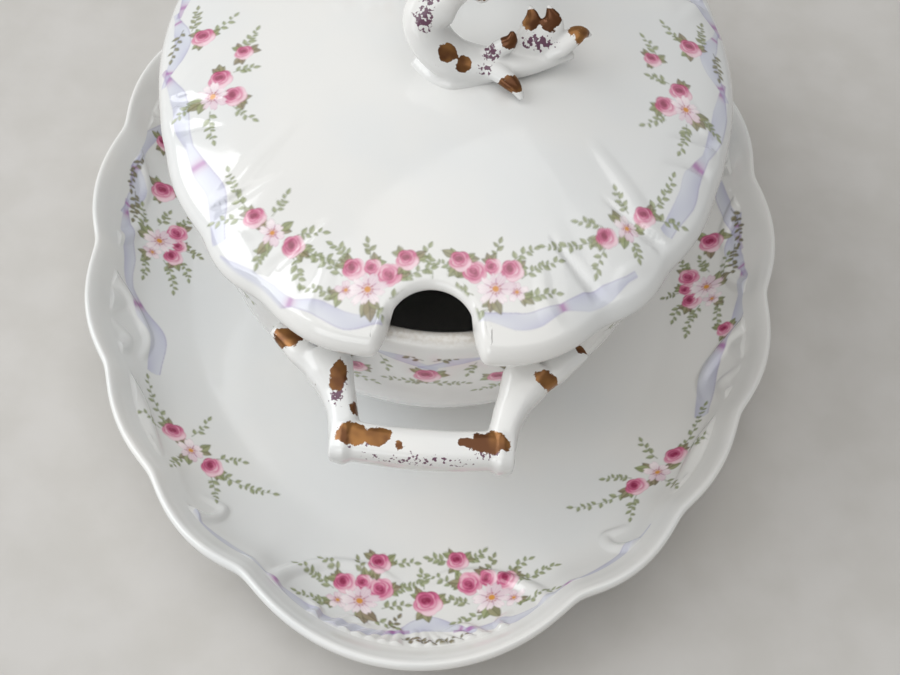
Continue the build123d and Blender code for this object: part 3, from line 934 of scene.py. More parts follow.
# The wall unrolls to a strip: distance round the rim from the middle of the front, and height.
BAND_HEIGHT = 52.0          # the height at the middle of the printed strip
rim_turn = np.linspace(-math.pi, math.pi, 2001)
pace = np.hypot(BOWL_OVAL[0] * np.cos(rim_turn), BOWL_OVAL[1] * np.sin(rim_turn))
rim_run = np.concatenate([[0.0], np.cumsum((pace[1:] + pace[:-1]) / 2)])
rim_run = rim_run * (rim_turn[1] - rim_turn[0])
half_rim = rim_run[-1] / 2
from_front = (bowl_surface.turn + 1.5 * math.pi) % (2 * math.pi) - math.pi
round_rim = np.interp(from_front, rim_turn, rim_run - half_rim)

bowl_sheet = TransferSheet(half_rim + 1.0, 24.0, seed=8, strength=1.0)
for centre in (0.0, half_rim, -half_rim):
    for side in (1, -1):
        def strip(*places):
            return [(centre + side * along, height - BAND_HEIGHT) for along, height in places]

        bowl_sheet.ribbon(
            strip((0.0, 57.5), (6.0, 60.0), (13.0, 62.3), (21.0, 61.5), (28.0, 59.5)),
            (1.5, 2.6, 3.0, 2.8, 1.4), (0.5,),
        )
        bowl_sheet.ribbon(
            strip(
                (28.0, 59.5), (38.0, 61.0), (48.0, 57.5), (57.0, 60.5), (68.0, 57.0), (78.0, 60.0)
            ),
            (1.2, 3.0, 3.2, 1.6, 3.2, 3.0, 1.2), (0.02, 0.5, 0.97),
        )
        for start, end, bend, pairs, dark in (
            ((1.0, 60.0), (8.0, 63.0), 20, 4, 0.9), ((8.0, 62.5), (17.0, 63.0), -20, 4, 0.8),
            ((0.5, 50.5), (8.0, 50.5), -20, 4, 0.3), ((9.5, 59.0), (8.0, 55.0), 20, 2, 0.2),
            ((26.0, 56.0), (33.0, 55.0), 20, 3, 0.5), ((25.0, 50.0), (35.0, 47.0), 20, 5, 0.1),
            ((16.0, 50.0), (11.0, 46.5), -20, 3, 0.1), ((40.0, 53.0), (49.0, 52.0), 20, 4, 0.1),
            ((66.0, 52.5), (57.0, 50.0), 20, 4, 0.1), ((76.0, 52.5), (85.0, 50.0), -20, 4, 0.1),
        ):
            bowl_sheet.twig(*strip(start, end), side * bend, pairs, dark)
        bowl_sheet.bunch([
            (kind, *strip((along, height))[0], radius) for kind, along, height, radius in (
                ("rose", 14.6, 53.0, 2.5), ("rose", 22.2, 50.4, 2.5), ("pale", 24.6, 54.6, 2.4),
                ("blossom", 18.8, 55.0, 3.4),
            )
        ])
        bowl_sheet.bunch([
            (kind, *strip((along, height))[0], radius) for kind, along, height, radius in (
                ("rose", 67.6, 54.0, 2.6), ("rose", 75.0, 53.8, 2.6), ("blossom", 71.2, 51.8, 3.4),
            )
        ])
    bowl_sheet.bunch([("rose", centre, 54.0 - BAND_HEIGHT, 2.9)])

bowl_print = bowl_sheet.sample(round_rim, bowl_surface.points[..., 2] - BAND_HEIGHT)
outside = (bowl_surface.along > 0.53) & (bowl_surface.points[..., 2] < 64.6)
bowl_print[..., 3] *= outside * (bowl_surface.points[..., 2] > BAND_HEIGHT - 22.0)
rim_wear = 0.62 * np.clip((bowl_surface.points[..., 2] - 64.4) / 1.4, 0, 1)
rim_wear *= 0.62 + 0.38 * np.sin(bowl_surface.turn * 9.0 + 2.0) * np.sin(bowl_surface.turn * 4.0)
bowl_wanted = cell_sizes(bowl_print[..., 3], 0.0 * rim_wear, 2.4, (0.44, 0.56), rim=0.8)
bowl = lattice_mesh(
    "bowl_glazed", bowl_surface.points, bowl_wanted,
    lambda points, used: {
        "print": bowl_print[used],
        "stain": np.stack([rim_wear[used]] * 3 + [np.ones(used.sum())], 1),
    },
)
bowl.data.materials.append(printed_porcelain)
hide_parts("bowl")
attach(bowl, "bowl")

# ---------------------------------------------------------------------------------------------
# Foot ring of the bowl.  Turned like the plate's, and wiped bare on its standing edge.

bowl_foot = oval_ring("bowl_foot", 34.0, 44.0, foot_section(5.0, 6.05, 9.65))
bowl_foot.data.materials.append(bare_porcelain)
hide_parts("bowl_foot_ring")
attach(bowl_foot, "bowl")

# ---------------------------------------------------------------------------------------------
# Handles.  Each was pressed apart: a cross bar between two corner pads, on posts that spread into
# wings along the rim.  They were stuck on with slip, glazed, and touched with gold that has worn.


def bar_shape(places, widths, heights, up=(0.0, 0.0, 1.0), square=3.0, around=28, step=0.5):
    """A bar along a smooth line, rounded square across; widths and heights are halves."""
    line = smooth_line(places, step)
    share = np.linspace(0.0, 1.0, len(line))
    wide = np.interp(share, np.linspace(0, 1, len(widths)), widths)
    high = np.interp(share, np.linspace(0, 1, len(heights)), heights)
    ahead = np.gradient(line, axis=0)
    ahead /= np.linalg.norm(ahead, axis=1, keepdims=True)
    side = np.cross(ahead, np.array(up, float))
    side /= np.linalg.norm(side, axis=1, keepdims=True)
    over = np.cross(side, ahead)
    turn = np.arange(around) * 2 * math.pi / around
    flat = np.abs(np.cos(turn)) ** (2 / square) * np.sign(np.cos(turn))
    tall = np.abs(np.sin(turn)) ** (2 / square) * np.sign(np.sin(turn))
    rings = (
        line[:, None] + side[:, None] * (wide[:, None] * flat)[..., None]
        + over[:, None] * (high[:, None] * tall)[..., None]
    )
    points = rings.reshape(-1, 3)
    faces = []
    for ring in range(len(line) - 1):
        for corner in range(around):
            a, b = ring * around + corner, ring * around + (corner + 1) % around
            faces.append((a, b, b + around, a + around))
    faces.append(tuple(range(around))[::-1])
    faces.append(tuple(range(len(points) - around, len(points))))
    return points, faces


def clay_shape(name, parts, grain, smoothing):
    """Parts pressed together into one skin and sponged smooth."""
    points, faces = [], []
    for part_points, part_faces in parts:
        faces += [tuple(corner + len(points) for corner in face) for face in part_faces]
        points += [tuple(point * MM) for point in part_points]
    mesh = bpy.data.meshes.new(name)
    mesh.from_pydata(points, [], faces)
    piece = bpy.data.objects.new(name, mesh)
    bpy.context.scene.collection.objects.link(piece)
    bpy.context.view_layer.objects.active = piece
    piece.select_set(True)
    remesh = piece.modifiers.new("skin", "REMESH")
    remesh.mode, remesh.voxel_size, remesh.use_smooth_shade = "VOXEL", grain * MM, True
    sponge = piece.modifiers.new("sponge", "SMOOTH")
    sponge.factor, sponge.iterations = 0.5, smoothing
    for modifier in (remesh, sponge):
        bpy.ops.object.modifier_apply(modifier=modifier.name)
    piece.select_set(False)
    piece.data.polygons.foreach_set("use_smooth", [True] * len(piece.data.polygons))
    return piece


def gild(piece, touches, residue, turned=False):
    """Marks where gold was brushed on: (place, radius), and the darker specks where it has gone."""
    co = np.zeros(len(piece.data.vertices) * 3, np.float32)
    piece.data.vertices.foreach_get("co", co)
    co = co.reshape(-1, 3) / MM
    if turned:
        co = co * (-1, -1, 1)
    for mark, spots in (("gilt", touches), ("residue", residue)):
        reach = np.zeros(len(co))
        for (place, size) in spots:
            size = np.array(size, float) if hasattr(size, "__len__") else np.array((size,) * 3)
            reach = np.maximum(reach, 1.5 - np.linalg.norm((co - place) / size, axis=1))
        layer = piece.data.color_attributes.new(mark, "FLOAT_COLOR", "POINT")
        value = np.clip(reach, 0.0, 1.0)
        layer.data.foreach_set(
            "color", np.stack([value, value, value, np.ones(len(co))], 1).astype(np.float32).ravel()
        )


# Worn gilding: brown gold with ragged edges, and purple-black specks where it has rubbed off.
gilding, gilding_in, gilding_out = shader_group(
    "worn_gilding",
    [
        ("Body", "NodeSocketColor", (0.8, 0.8, 0.8, 1.0)), ("Roughness", "NodeSocketFloat", 0.1),
        ("Gilt", "NodeSocketFloat", 0.0), ("Residue", "NodeSocketFloat", 0.0),
    ],
    [
        ("Color", "NodeSocketColor"), ("Roughness", "NodeSocketFloat"),
        ("Metallic", "NodeSocketFloat"),
    ],
)
place = add_node(gilding, "ShaderNodeTexCoord").outputs["Object"]
wear = add_node(
    gilding, "ShaderNodeTexNoise", Vector=place, Scale=520.0, Detail=5.0, Roughness=0.62,
)
drift = add_node(gilding, "ShaderNodeTexNoise", Vector=place, Scale=170.0, Detail=2.0)
edge = add_node(
    gilding, "ShaderNodeMath", {"operation": "MULTIPLY_ADD"},
    _0=wear.outputs["Fac"], _1=0.95, _2=gilding_in.outputs["Gilt"],
).outputs[0]
gold = ramped(gilding, edge, 1.16, 1.22)
tone = mixed(
    gilding, ramped(gilding, drift.outputs["Fac"], 0.38, 0.62),
    (0.125, 0.045, 0.014, 1), (0.34, 0.155, 0.045, 1),
)
speckle = add_node(gilding, "ShaderNodeTexNoise", Vector=place, Scale=1300.0, Detail=2.0)
left = add_node(
    gilding, "ShaderNodeMath", {"operation": "MULTIPLY_ADD"},
    _0=speckle.outputs["Fac"], _1=1.6, _2=gilding_in.outputs["Residue"],
).outputs[0]
dirty = mixed(
    gilding, ramped(gilding, left, 1.62, 1.74), gilding_in.outputs["Body"], (0.15, 0.07, 0.11, 1)
)
gilding.links.new(mixed(gilding, gold, dirty, tone), gilding_out.inputs["Color"])
rough = add_node(gilding, "ShaderNodeMix", {"data_type": "FLOAT"})
gilding.links.new(gold, rough.inputs[0])
gilding.links.new(gilding_in.outputs["Roughness"], rough.inputs[2])
rough.inputs[3].default_value = 0.24
gilding.links.new(rough.outputs[0], gilding_out.inputs["Roughness"])
metal = add_node(gilding, "ShaderNodeMath", {"operation": "MULTIPLY"}, _0=gold, _1=0.55)
gilding.links.new(metal.outputs[0], gilding_out.inputs["Metallic"])

gilded_porcelain, tree, shader, body = new_finish("gilded_porcelain")
leaf_gold = tree.nodes.new("ShaderNodeGroup")
leaf_gold.node_tree = gilding
tree.links.new(body.outputs["Color"], leaf_gold.inputs["Body"])
tree.links.new(body.outputs["Roughness"], leaf_gold.inputs["Roughness"])
for mark, label in (("gilt", "Gilt"), ("residue", "Residue")):
    painted = add_node(tree, "ShaderNodeAttribute", {"attribute_name": mark})
    tree.links.new(painted.outputs["Fac"], leaf_gold.inputs[label])
tree.links.new(leaf_gold.outputs["Color"], shader.inputs["Base Color"])
tree.links.new(leaf_gold.outputs["Roughness"], shader.inputs["Roughness"])
tree.links.new(leaf_gold.outputs["Metallic"], shader.inputs["Metallic"])
bump = add_node(
    tree, "ShaderNodeBump", Strength=0.10, Distance=0.0006, Height=body.outputs["Height"],
)
tree.links.new(bump.outputs["Normal"], shader.inputs["Normal"])
shader.inputs["IOR"].default_value = 1.52

HANDLE_SLOPE = math.radians(14.0)
HANDLE_HEIGHT = 60.05           # top of the handle where it leaves the end of the rim


def handle_place(x, out, below):
    """A place on the handle: out from the end of the rim along its slope, and below its top."""
    return (
        x,
        -BOWL_OVAL[1] - out * math.cos(HANDLE_SLOPE) - below * math.sin(HANDLE_SLOPE),
        HANDLE_HEIGHT - out * math.sin(HANDLE_SLOPE) - below * math.cos(HANDLE_SLOPE),
    )


handle_up = (0.0, -math.sin(HANDLE_SLOPE), math.cos(HANDLE_SLOPE))
HANDLE_BAR_OUT = 14.0           # end of the rim to the middle of the cross bar
handle_parts = [bar_shape(
    [
        handle_place(x, HANDLE_BAR_OUT + 0.8 * (1 - (x / 14.0) ** 2), 4.3)
        for x in (-14.5, -7, 0, 7, 14.5)
    ],
    (3.7, 3.6, 3.7, 3.6, 3.7), (3.9, 4.1, 4.2, 4.1, 3.9), handle_up, 3.2,
)]
for side in (1, -1):
    handle_parts.append(bar_shape(      # corner pad
        [handle_place(side * x, HANDLE_BAR_OUT, 4.3) for x in (12.2, 15.2, 17.8)],
        (2.8, 4.5, 3.9), (3.2, 4.5, 3.5), handle_up, 3.4,
    ))
    handle_parts.append(bar_shape(      # post
        [handle_place(side * 15.0, 17.4, 4.3), handle_place(side * 15.2, 12.4, 4.3),
         handle_place(side * 16.4, 6.6, 4.2), handle_place(side * 18.8, 0.8, 3.9),
         handle_place(side * 21.0, -3.5, 3.4)],
        (2.4, 3.1, 3.0, 3.5, 4.8, 4.8), (3.4, 4.0, 3.8, 3.9, 4.4, 4.0), handle_up, 2.8,
    ))
    handle_parts.append(bar_shape(      # wing
        [handle_place(side * 16.8, 7.0, 3.4), handle_place(side * 20.6, 1.4, 3.2),
         handle_place(side * 25.4, -2.8, 2.8), handle_place(side * 30.6, -6.6, 2.6)],
        (1.9, 2.6, 2.9, 1.6), (2.6, 3.0, 2.6, 1.5), handle_up, 2.6,
    ))

HANDLE_GOLD = tuple((handle_place(*place), size) for place, size in (
    ((-13.6, 15.6, 0.4), (4.4, 2.8, 3.2)),
    ((-8.6, 15.8, 0.2), (3.4, 2.4, 2.6)),
    ((-4.4, 17.0, 1.2), (2.2, 1.6, 2.0)),
    ((13.0, 15.4, 0.6), (5.2, 3.0, 3.4)),
    ((8.4, 15.6, 0.6), (2.6, 1.6, 2.0)),
    ((-17.2, 3.6, 0.4), (2.2, 4.8, 3.0)),
    ((-12.6, 10.0, 0.6), (2.6, 2.0, 2.4)),
    ((-27.6, -3.6, 1.0), (4.0, 2.6, 3.6)),
    ((22.4, 1.2, 1.6), (3.6, 2.4, 3.8)),
    ((30.2, -6.4, 1.2), (2.2, 2.0, 2.8)),
))
HANDLE_RESIDUE = tuple((handle_place(*place), size) for place, size in (
    ((0.0, 18.0, 1.8), (14.0, 2.0, 2.0)),
    ((-13.0, 15.4, 1.4), (4.4, 3.2, 3.0)),
    ((12.0, 15.8, 1.4), (5.6, 3.0, 3.0)),
    ((-17.0, 6.0, 1.0), (2.2, 4.8, 2.6)),
))
front_handle = clay_shape("handle_front", handle_parts, 0.42, 7)
back_handle = bpy.data.objects.new("handle_back", front_handle.data.copy())
back_handle.data.transform(Matrix.Rotation(math.pi, 4, "Z"))
bpy.context.scene.collection.objects.link(back_handle)
for piece, node, turned in (
    (front_handle, "bowl_handle_front", False), (back_handle, "bowl_handle_back", True),
):
    gild(piece, HANDLE_GOLD, HANDLE_RESIDUE, turned)
    piece.data.materials.append(gilded_porcelain)
    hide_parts(node)
    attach(piece, "bowl")

# ---------------------------------------------------------------------------------------------
# Lid.  A low dome with the bowl's lobes round its thick edge, and a notch cut out of one end for
# the ladle while the clay was leather hard.  Its lip was sponged round before the firing.

LID_OVAL = (62.0, 79.0)
NOTCH_RADIUS, NOTCH_MOUTH, NOTCH_MIDDLE = 8.3, 10.2, -73.8
RELIEF_MIDDLE, RELIEF_RADIUS = -62.5, 12.0
LIP = 2.0                   # how far in from the edge its rounding reaches
INNER_SHARE = 0.62          # inside this oval the lattice takes no notice of the notch
LID_STATIONS = np.array((   # share of the oval, height of the top, depth of the scallops
    (0.0, 84.1, 0.0), (0.12, 84.1, 0.0), (0.30, 83.2, 0.0), (0.50, 81.05, 0.0),
    (0.70, 78.15, 0.25), (0.82, 76.2, 0.5), (0.93, 73.65, 0.8), (0.99, 71.4, 1.0),
    (1.03, 69.6, 1.0), (1.10, 68.0, 1.0),
))
UNDER_STATIONS = np.array((
    (0.0, 79.9), (0.12, 79.9), (0.30, 79.0), (0.50, 76.8), (0.70, 73.8), (0.775, 70.6),
    (0.80, 67.4), (0.815, 66.1), (1.10, 66.1),
))


def smooth_steps(x, xs, ys):
    """A table read off smoothly, with the slopes of a curve drawn through its points."""
    slope = np.gradient(ys, xs)
    at = np.clip(np.searchsorted(xs, x) - 1, 0, len(xs) - 2)
    wide = xs[at + 1] - xs[at]
    t = np.clip((x - xs[at]) / wide, 0.0, 1.0)
    return (
        ys[at] * (1 + 2 * t) * (1 - t) ** 2 + slope[at] * wide * t * (1 - t) ** 2
        + ys[at + 1] * t * t * (3 - 2 * t) + slope[at + 1] * wide * t * t * (t - 1)
    )


def lid_share(x, y):
    """Which share of the scalloped oval passes through a place seen from above."""
    share = np.hypot(x / LID_OVAL[0], y / LID_OVAL[1])
    for _ in range(4):
        depth = np.interp(share, LID_STATIONS[:, 0], LID_STATIONS[:, 2])
        turn = np.arctan2(y * LID_OVAL[0], x * LID_OVAL[1])
        lobes = lobe_reach(turn, BOWL_NOTCHES, BOWL_CROWNS) * depth
        across = np.hypot(LID_OVAL[0] * np.cos(turn), LID_OVAL[1] * np.sin(turn))
        share = np.maximum(np.hypot(x, y) - lobes, 0.0) / across
    return share


def lid_top(x, y):
    return smooth_steps(lid_share(x, y), LID_STATIONS[:, 0], LID_STATIONS[:, 1])


def lid_under(x, y):
    share = lid_share(x, y)
    under = np.interp(share, UNDER_STATIONS[:, 0], UNDER_STATIONS[:, 1])
    near = np.clip((RELIEF_RADIUS - np.hypot(x, y - RELIEF_MIDDLE)) / 1.5, 0.0, 1.0)
    top = smooth_steps(share, LID_STATIONS[:, 0], LID_STATIONS[:, 1])
    return np.maximum(under, under + (np.maximum(top - 3.4, under) - under) * near)


# The outline: the scalloped oval, then in round the notch.
OVAL_POINTS = 2400
opening = math.asin(NOTCH_MOUTH / (LID_OVAL[0] + 0.5))
oval_turn = np.linspace(-math.pi / 2 + opening, 1.5 * math.pi - opening, OVAL_POINTS)
reach = lobe_reach(oval_turn, BOWL_NOTCHES, BOWL_CROWNS)
oval_part = np.stack([
    (LID_OVAL[0] + reach) * np.cos(oval_turn), (LID_OVAL[1] + reach) * np.sin(oval_turn)
], 1)
head_turn = np.linspace(math.pi, 0.0, 120)
head_part = np.stack([
    NOTCH_RADIUS * np.cos(head_turn), NOTCH_MIDDLE + NOTCH_RADIUS * np.sin(head_turn)
], 1)
outline = np.vstack([oval_part, head_part, oval_part[:1]])
run = np.concatenate([[0.0], np.cumsum(np.hypot(*np.diff(outline, axis=0).T))])
even = np.arange(FINE_TURNS) * run[-1] / FINE_TURNS
edge = np.stack([np.interp(even, run, column) for column in outline.T], 1)
blur = np.exp(-0.5 * (np.arange(-30, 31) * (even[1] / 1.15)) ** 2)
blur /= blur.sum()
edge = sum(share * np.roll(edge, shift, 0) for shift, share in zip(range(-30, 31), blur))
forward_edge = np.roll(edge, -2, 0) - np.roll(edge, 2, 0)
inward = np.stack([-forward_edge[:, 1], forward_edge[:, 0]], 1)
inward /= np.linalg.norm(inward, axis=1, keepdims=True)

# The same columns on the inner oval, fanned out a little behind the notch.
oval_end = run[len(oval_part) - 1]
to_corner = math.radians(13.0)
column_turn = np.interp(
    even, [0.0, oval_end * 0.18, oval_end * 0.82, oval_end, run[-1]],
    [
        -math.pi / 2 + to_corner,
        np.interp(oval_end * 0.18, run[:OVAL_POINTS], oval_turn),
        np.interp(oval_end * 0.82, run[:OVAL_POINTS], oval_turn),
        1.5 * math.pi - to_corner, 1.5 * math.pi + to_corner,
    ],
)
inner = np.stack([
    LID_OVAL[0] * INNER_SHARE * np.cos(column_turn), LID_OVAL[1] * INNER_SHARE * np.sin(column_turn)
], 1)

UNDER_END, EDGE_END = 0.36, 0.44        # shares of the rows: underside, then rounded edge, then top
rows = np.linspace(0.0, 1.0, FINE_ROWS + 1)
round_edge = np.interp(rows, [UNDER_END, EDGE_END], [-math.pi / 2, math.pi / 2])
inset = LIP * (1.0 - np.cos(round_edge))
past = np.where(
    rows < UNDER_END, (UNDER_END - rows) / UNDER_END, (rows - EDGE_END) / (1 - EDGE_END)
)
past = np.clip(past, 0.0, 1.0)
lip_start = edge + inward * LIP
to_inner, to_middle = np.clip(past / 0.45, 0, 1), np.clip((past - 0.45) / 0.55, 0, 1)
plan = edge[:, None] + inward[:, None] * inset[None, :, None]
plan = plan + (inner - lip_start)[:, None] * to_inner[None, :, None]
plan = np.where(
    to_middle[None, :, None] > 0, inner[:, None] * (1 - 0.93 * to_middle)[None, :, None], plan
)
lid_x, lid_y = plan[..., 0], plan[..., 1]

# Moulded swirls where the lobes meet the dome.
lid_relief = ReliefSheet(70.0, 88.0)
for line, width, height in (
    (((47, -53), (42, -47), (36, -38), (30, -30)), 7.5, 0.5),
    (((51, -50), (45, -56), (38, -57), (34, -63)), 6.5, 0.5),
    (((54, -37), (57, -29), (55, -20), (50, -12)), 7.0, 0.45),
    (((25, -73), (21, -67), (20, -60)), 6.5, 0.4),
):
    lid_relief.everywhere(line, width, height)
for notch, reach_in in ((16.2, 0.80), (22.7, 0.82), (41.2, 0.74), (57.3, 0.76), (80.5, 0.84)):
    turn = math.radians(notch)
    groove = [
        (LID_OVAL[0] * share * math.cos(turn + lean), -LID_OVAL[1] * share * math.sin(turn + lean))
        for share, lean in ((1.0, 0.0), (0.94, 0.012), (0.88, 0.04), (reach_in, 0.09))
    ]
    lid_relief.everywhere(groove, 5.0, -0.9, 0.3)
lid_raise = lid_relief.sample(lid_x, lid_y) * (rows > EDGE_END)[None, :]
lid_raise = lid_raise * np.clip((0.965 - lid_share(lid_x, lid_y)) / 0.04, 0, 1)

top, under = lid_top(lid_x, lid_y), lid_under(lid_x, lid_y)
middle = (top + np.minimum(under, top - 2.5)) / 2
over_edge = np.sin(round_edge)[None, :]
height = middle + np.where(over_edge >= 0, top - middle, middle - under) * over_edge
height = height + lid_raise
lid_points = np.stack([lid_x, lid_y, height], -1)

LID_MOTIFS = (
    (BUNCH, -12.5, -67.5, -98, 1, 0.88), (BUNCH, 11.5, -65.5, -80, -1, 0.88),
    (SPRAY, -31.5, -55.5, -128, 1, 0.85), (SPRAY, 36.5, -48.0, -50, -1, 0.85),
)
LID_BLOOMS = (("bud", -5.5, -61.0, 2.3), ("bud", 4.5, -60.5, 2.3))
LID_TWIGS = (
    ((-0.5, -64.5), (-1.0, -61.0), 15, 2, 0.1), ((-3.5, -62.0), (-1.5, -58.5), 15, 2, 0.1),
)
LID_RIBBONS = (
    (
        ((-10.5, -73.0), (-16.0, -73.5), (-22.0, -71.0), (-29.0, -69.0),
         (-36.0, -64.0), (-40.0, -61.0)),
        (1.6, 3.2, 3.0, 1.5, 3.6, 3.2, 1.2), (0.52,),
    ),
    (
        ((10.5, -71.0), (18.0, -71.0), (25.0, -67.0), (31.0, -64.0), (37.0, -59.0)),
        (1.6, 3.2, 3.0, 1.5, 3.6, 3.2, 1.2), (0.5,),
    ),
    (
        ((-59.0, -14.0), (-55.0, -22.0), (-53.0, -30.0), (-48.0, -40.0),
         (-44.0, -46.0), (-42.5, -54.5)),
        (1.2, 3.4, 3.4, 1.6, 3.6, 3.8, 2.8), (0.02, 0.62),
    ),
    (
        ((59.0, -6.0), (57.5, -16.0), (55.0, -24.0), (51.0, -32.0), (49.5, -38.0), (46.0, -45.0)),
        (1.2, 3.4, 3.4, 1.6, 3.8, 4.0, 2.8), (0.02, 0.58),
    ),
)
LID_SIDE_MOTIFS = ((TRIO, -48.0, -22.0, 180, 1, 1.0), (TRIO, 50.0, -15.0, 0, -1, 1.0))
LID_SIDE_BLOOMS = (
    ("rose", -52.5, -4.5, 2.7), ("bud", -43.0, -10.5, 2.1),
    ("rose", 52.0, 4.0, 2.7), ("bud", 43.0, -3.0, 2.1),
)
LID_SIDE_TWIGS = (
    ((-50.5, -3.5), (-46.5, 0.5), 20, 3, 0.1), ((-43.5, -9.0), (-41.0, -4.5), 20, 3, 0.1),
    ((-55.5, -2.0), (-55.0, 4.5), 20, 4, 0.3), ((-57.5, -1.0), (-59.0, -9.0), 15, 4, 0.7),
    ((50.0, 5.0), (46.0, 9.0), -20, 3, 0.1), ((44.0, -1.5), (41.5, 3.0), 20, 3, 0.1),
    ((55.0, 6.0), (55.0, 12.5), -20, 4, 0.3), ((57.5, 5.0), (58.5, -2.0), -15, 4, 0.7),
)
LID_SIDE_RIBBONS = (
    (((-59.5, 3.0), (-57.0, -5.5), (-59.0, -14.0)), (1.2, 3.2, 3.8, 3.2, 1.2), (0.06, 0.94)),
    (((58.5, 11.0), (56.0, 2.0), (59.0, -6.0)), (1.2, 3.2, 3.8, 3.2, 1.2), (0.06, 0.94)),
)


class AsSeenFromAbove:
    """The lid is shallow enough for its border to be laid straight down on it."""

    def sheet_place(self, x, y):
        return x, y


lid_sheet = TransferSheet(68.0, 86.0, seed=5, strength=0.90)
print_border(AsSeenFromAbove(), lid_sheet, LID_MOTIFS, LID_BLOOMS, LID_TWIGS, LID_RIBBONS)
print_border(
    AsSeenFromAbove(), lid_sheet, LID_SIDE_MOTIFS, LID_SIDE_BLOOMS, LID_SIDE_TWIGS,
    LID_SIDE_RIBBONS, both_ends=False,
)
lid_print = lid_sheet.sample(lid_x, lid_y)
# the print stops short of the lip
lid_print[..., 3] *= np.clip((round_edge - 0.8) / 0.3, 0, 1)[None, :]
lid_wanted = np.full(lid_x.shape, 2.4)
lid_wanted[:, int(FINE_ROWS * (UNDER_END - 0.02)):int(FINE_ROWS * (EDGE_END + 0.02))] = 0.8
lid_wanted[np.abs(lid_raise) > 0.03] = 0.8
behind_notch = np.hypot(lid_x, lid_y + 66.0) < 17.0
lid_wanted[behind_notch] = np.minimum(lid_wanted[behind_notch], 0.9)
lid_wanted[lid_print[..., 3] > 0.04] = 0.29
lid = lattice_mesh(
    "lid_glazed", lid_points, lid_wanted, lambda points, used: {"print": lid_print[used]}
)
lid.data.materials.append(printed_porcelain)
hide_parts("lid")
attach(lid, "lid")

# ---------------------------------------------------------------------------------------------
# Locating flange.  A low wall under the lid that stops it sliding off the bowl, left open behind
# the notch.  It is glazed and carries no print.

FLANGE_INSET = 7.6          # bowl's rim to the middle of the flange's wall
FLANGE_MIDDLE = 63.65       # height of the middle of the flange
flange_turn = np.linspace(-math.pi / 2 + 0.245, 1.5 * math.pi - 0.245, 90)
flange_reach = lobe_reach(flange_turn, BOWL_NOTCHES, BOWL_CROWNS)
flange_line = np.stack([
    (BOWL_OVAL[0] - FLANGE_INSET + flange_reach) * np.cos(flange_turn),
    (BOWL_OVAL[1] - FLANGE_INSET + flange_reach) * np.sin(flange_turn),
    0 * flange_turn + FLANGE_MIDDLE,
], 1)
plain_porcelain = glazed_finish("plain_porcelain", printed=False)
flange = clay_shape("lid_flange_glazed", [bar_shape(
    flange_line, (1.45, 1.55, 1.55, 1.45), (2.45, 2.5, 2.5, 2.45), square=6.0, around=20, step=1.0,
)], 0.7, 1)
flange.data.materials.append(plain_porcelain)
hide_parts("lid_flange")
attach(flange, "lid")

# ---------------------------------------------------------------------------------------------
# Finial.  One strap that scrolls up from an acanthus end, over the lid and down to the other.
# The leaf tips, the curl and a patch on the strap were gilt by hand.

CROWN = 84.1
half_scroll = (
    (25.0, -10.5, CROWN + 1.0), (13.0, -15.4, CROWN + 1.4), (1.0, -16.6, CROWN + 2.6),
    (-5.0, -15.0, CROWN + 8.0), (-4.0, -13.0, CROWN + 14.5), (0.5, -9.5, CROWN + 19.0),
    (1.2, -3.9, CROWN + 20.3),
)
other_half = [(-x, -y, z) for x, y, z in reversed(half_scroll)]
finial_parts = [bar_shape(
    list(half_scroll) + other_half,
    (1.2, 2.6, 3.8, 5.0, 5.2, 4.8, 4.2, 4.2, 4.8, 5.2, 5.0, 3.8, 2.6, 1.2),
    (0.9, 1.7, 2.6, 3.5, 3.5, 3.3, 3.1, 3.1, 3.3, 3.5, 3.5, 2.6, 1.7, 0.9),
    (0.25, -0.1, 0.9), 2.4,
)]
for turned in (1, -1):
    def here(*places):
        return [(turned * x, turned * y, CROWN + z) for x, y, z in places]

    finial_parts += [
        bar_shape(here((-6.5, -13.5, -0.6), (-0.5, -17.0, -0.8), (8.5, -16.6, -0.6)),   # foot
                  (3.0, 5.0, 2.6), (1.8, 2.8, 1.6), square=2.0),
        bar_shape(here((-3.0, -13.2, 16.2), (1.0, -14.0, 19.2), (4.4, -14.0, 18.6),
                       (5.4, -13.6, 16.6)),
                  (3.0, 2.8, 2.4, 1.6), (2.4, 2.2, 2.0, 1.6), (0, -1, 0.2), 2.2),       # curl
        bar_shape(here((7.0, -15.6, 3.6), (10.0, -15.4, 5.6), (11.8, -15.0, 7.6),
                       (11.6, -14.2, 9.2)),
                  (1.3, 1.9, 1.8, 0.5), (1.1, 1.5, 1.3, 0.5), (0, -1, 0.4), 2.2),
        bar_shape(here((13.5, -14.0, 2.4), (15.2, -11.6, 5.2), (15.8, -9.6, 8.2),
                       (15.0, -7.8, 10.6)),
                  (1.8, 2.7, 2.2, 0.4), (1.1, 1.3, 1.1, 0.4), (0, -1, 0.4), 2.2),
        bar_shape(here((15.0, -13.6, 2.2), (18.2, -11.6, 5.0), (20.0, -9.8, 8.0),
                       (18.6, -8.0, 11.2)),
                  (1.8, 3.0, 2.5, 0.4), (1.1, 1.4, 1.2, 0.4), (0, -1, 0.4), 2.2),
        bar_shape(here((18.5, -13.0, 1.8), (22.5, -11.6, 4.4), (26.0, -9.2, 5.6),
                       (28.2, -7.8, 3.8)),
                  (1.8, 2.5, 2.0, 0.5), (1.2, 1.5, 1.2, 0.5), (0, -0.5, 1), 2.2),
        bar_shape(here((5.5, -17.4, 2.4), (9.5, -19.2, 2.4), (13.0, -21.4, 1.2),
                       (15.0, -23.4, -0.6)),
                  (1.5, 2.0, 1.8, 0.6), (1.2, 1.5, 1.2, 0.5), (0, -0.4, 1), 2.2),
    ]
finial = clay_shape("lid_finial_glazed", finial_parts, 0.42, 6)
FINIAL_GOLD = []
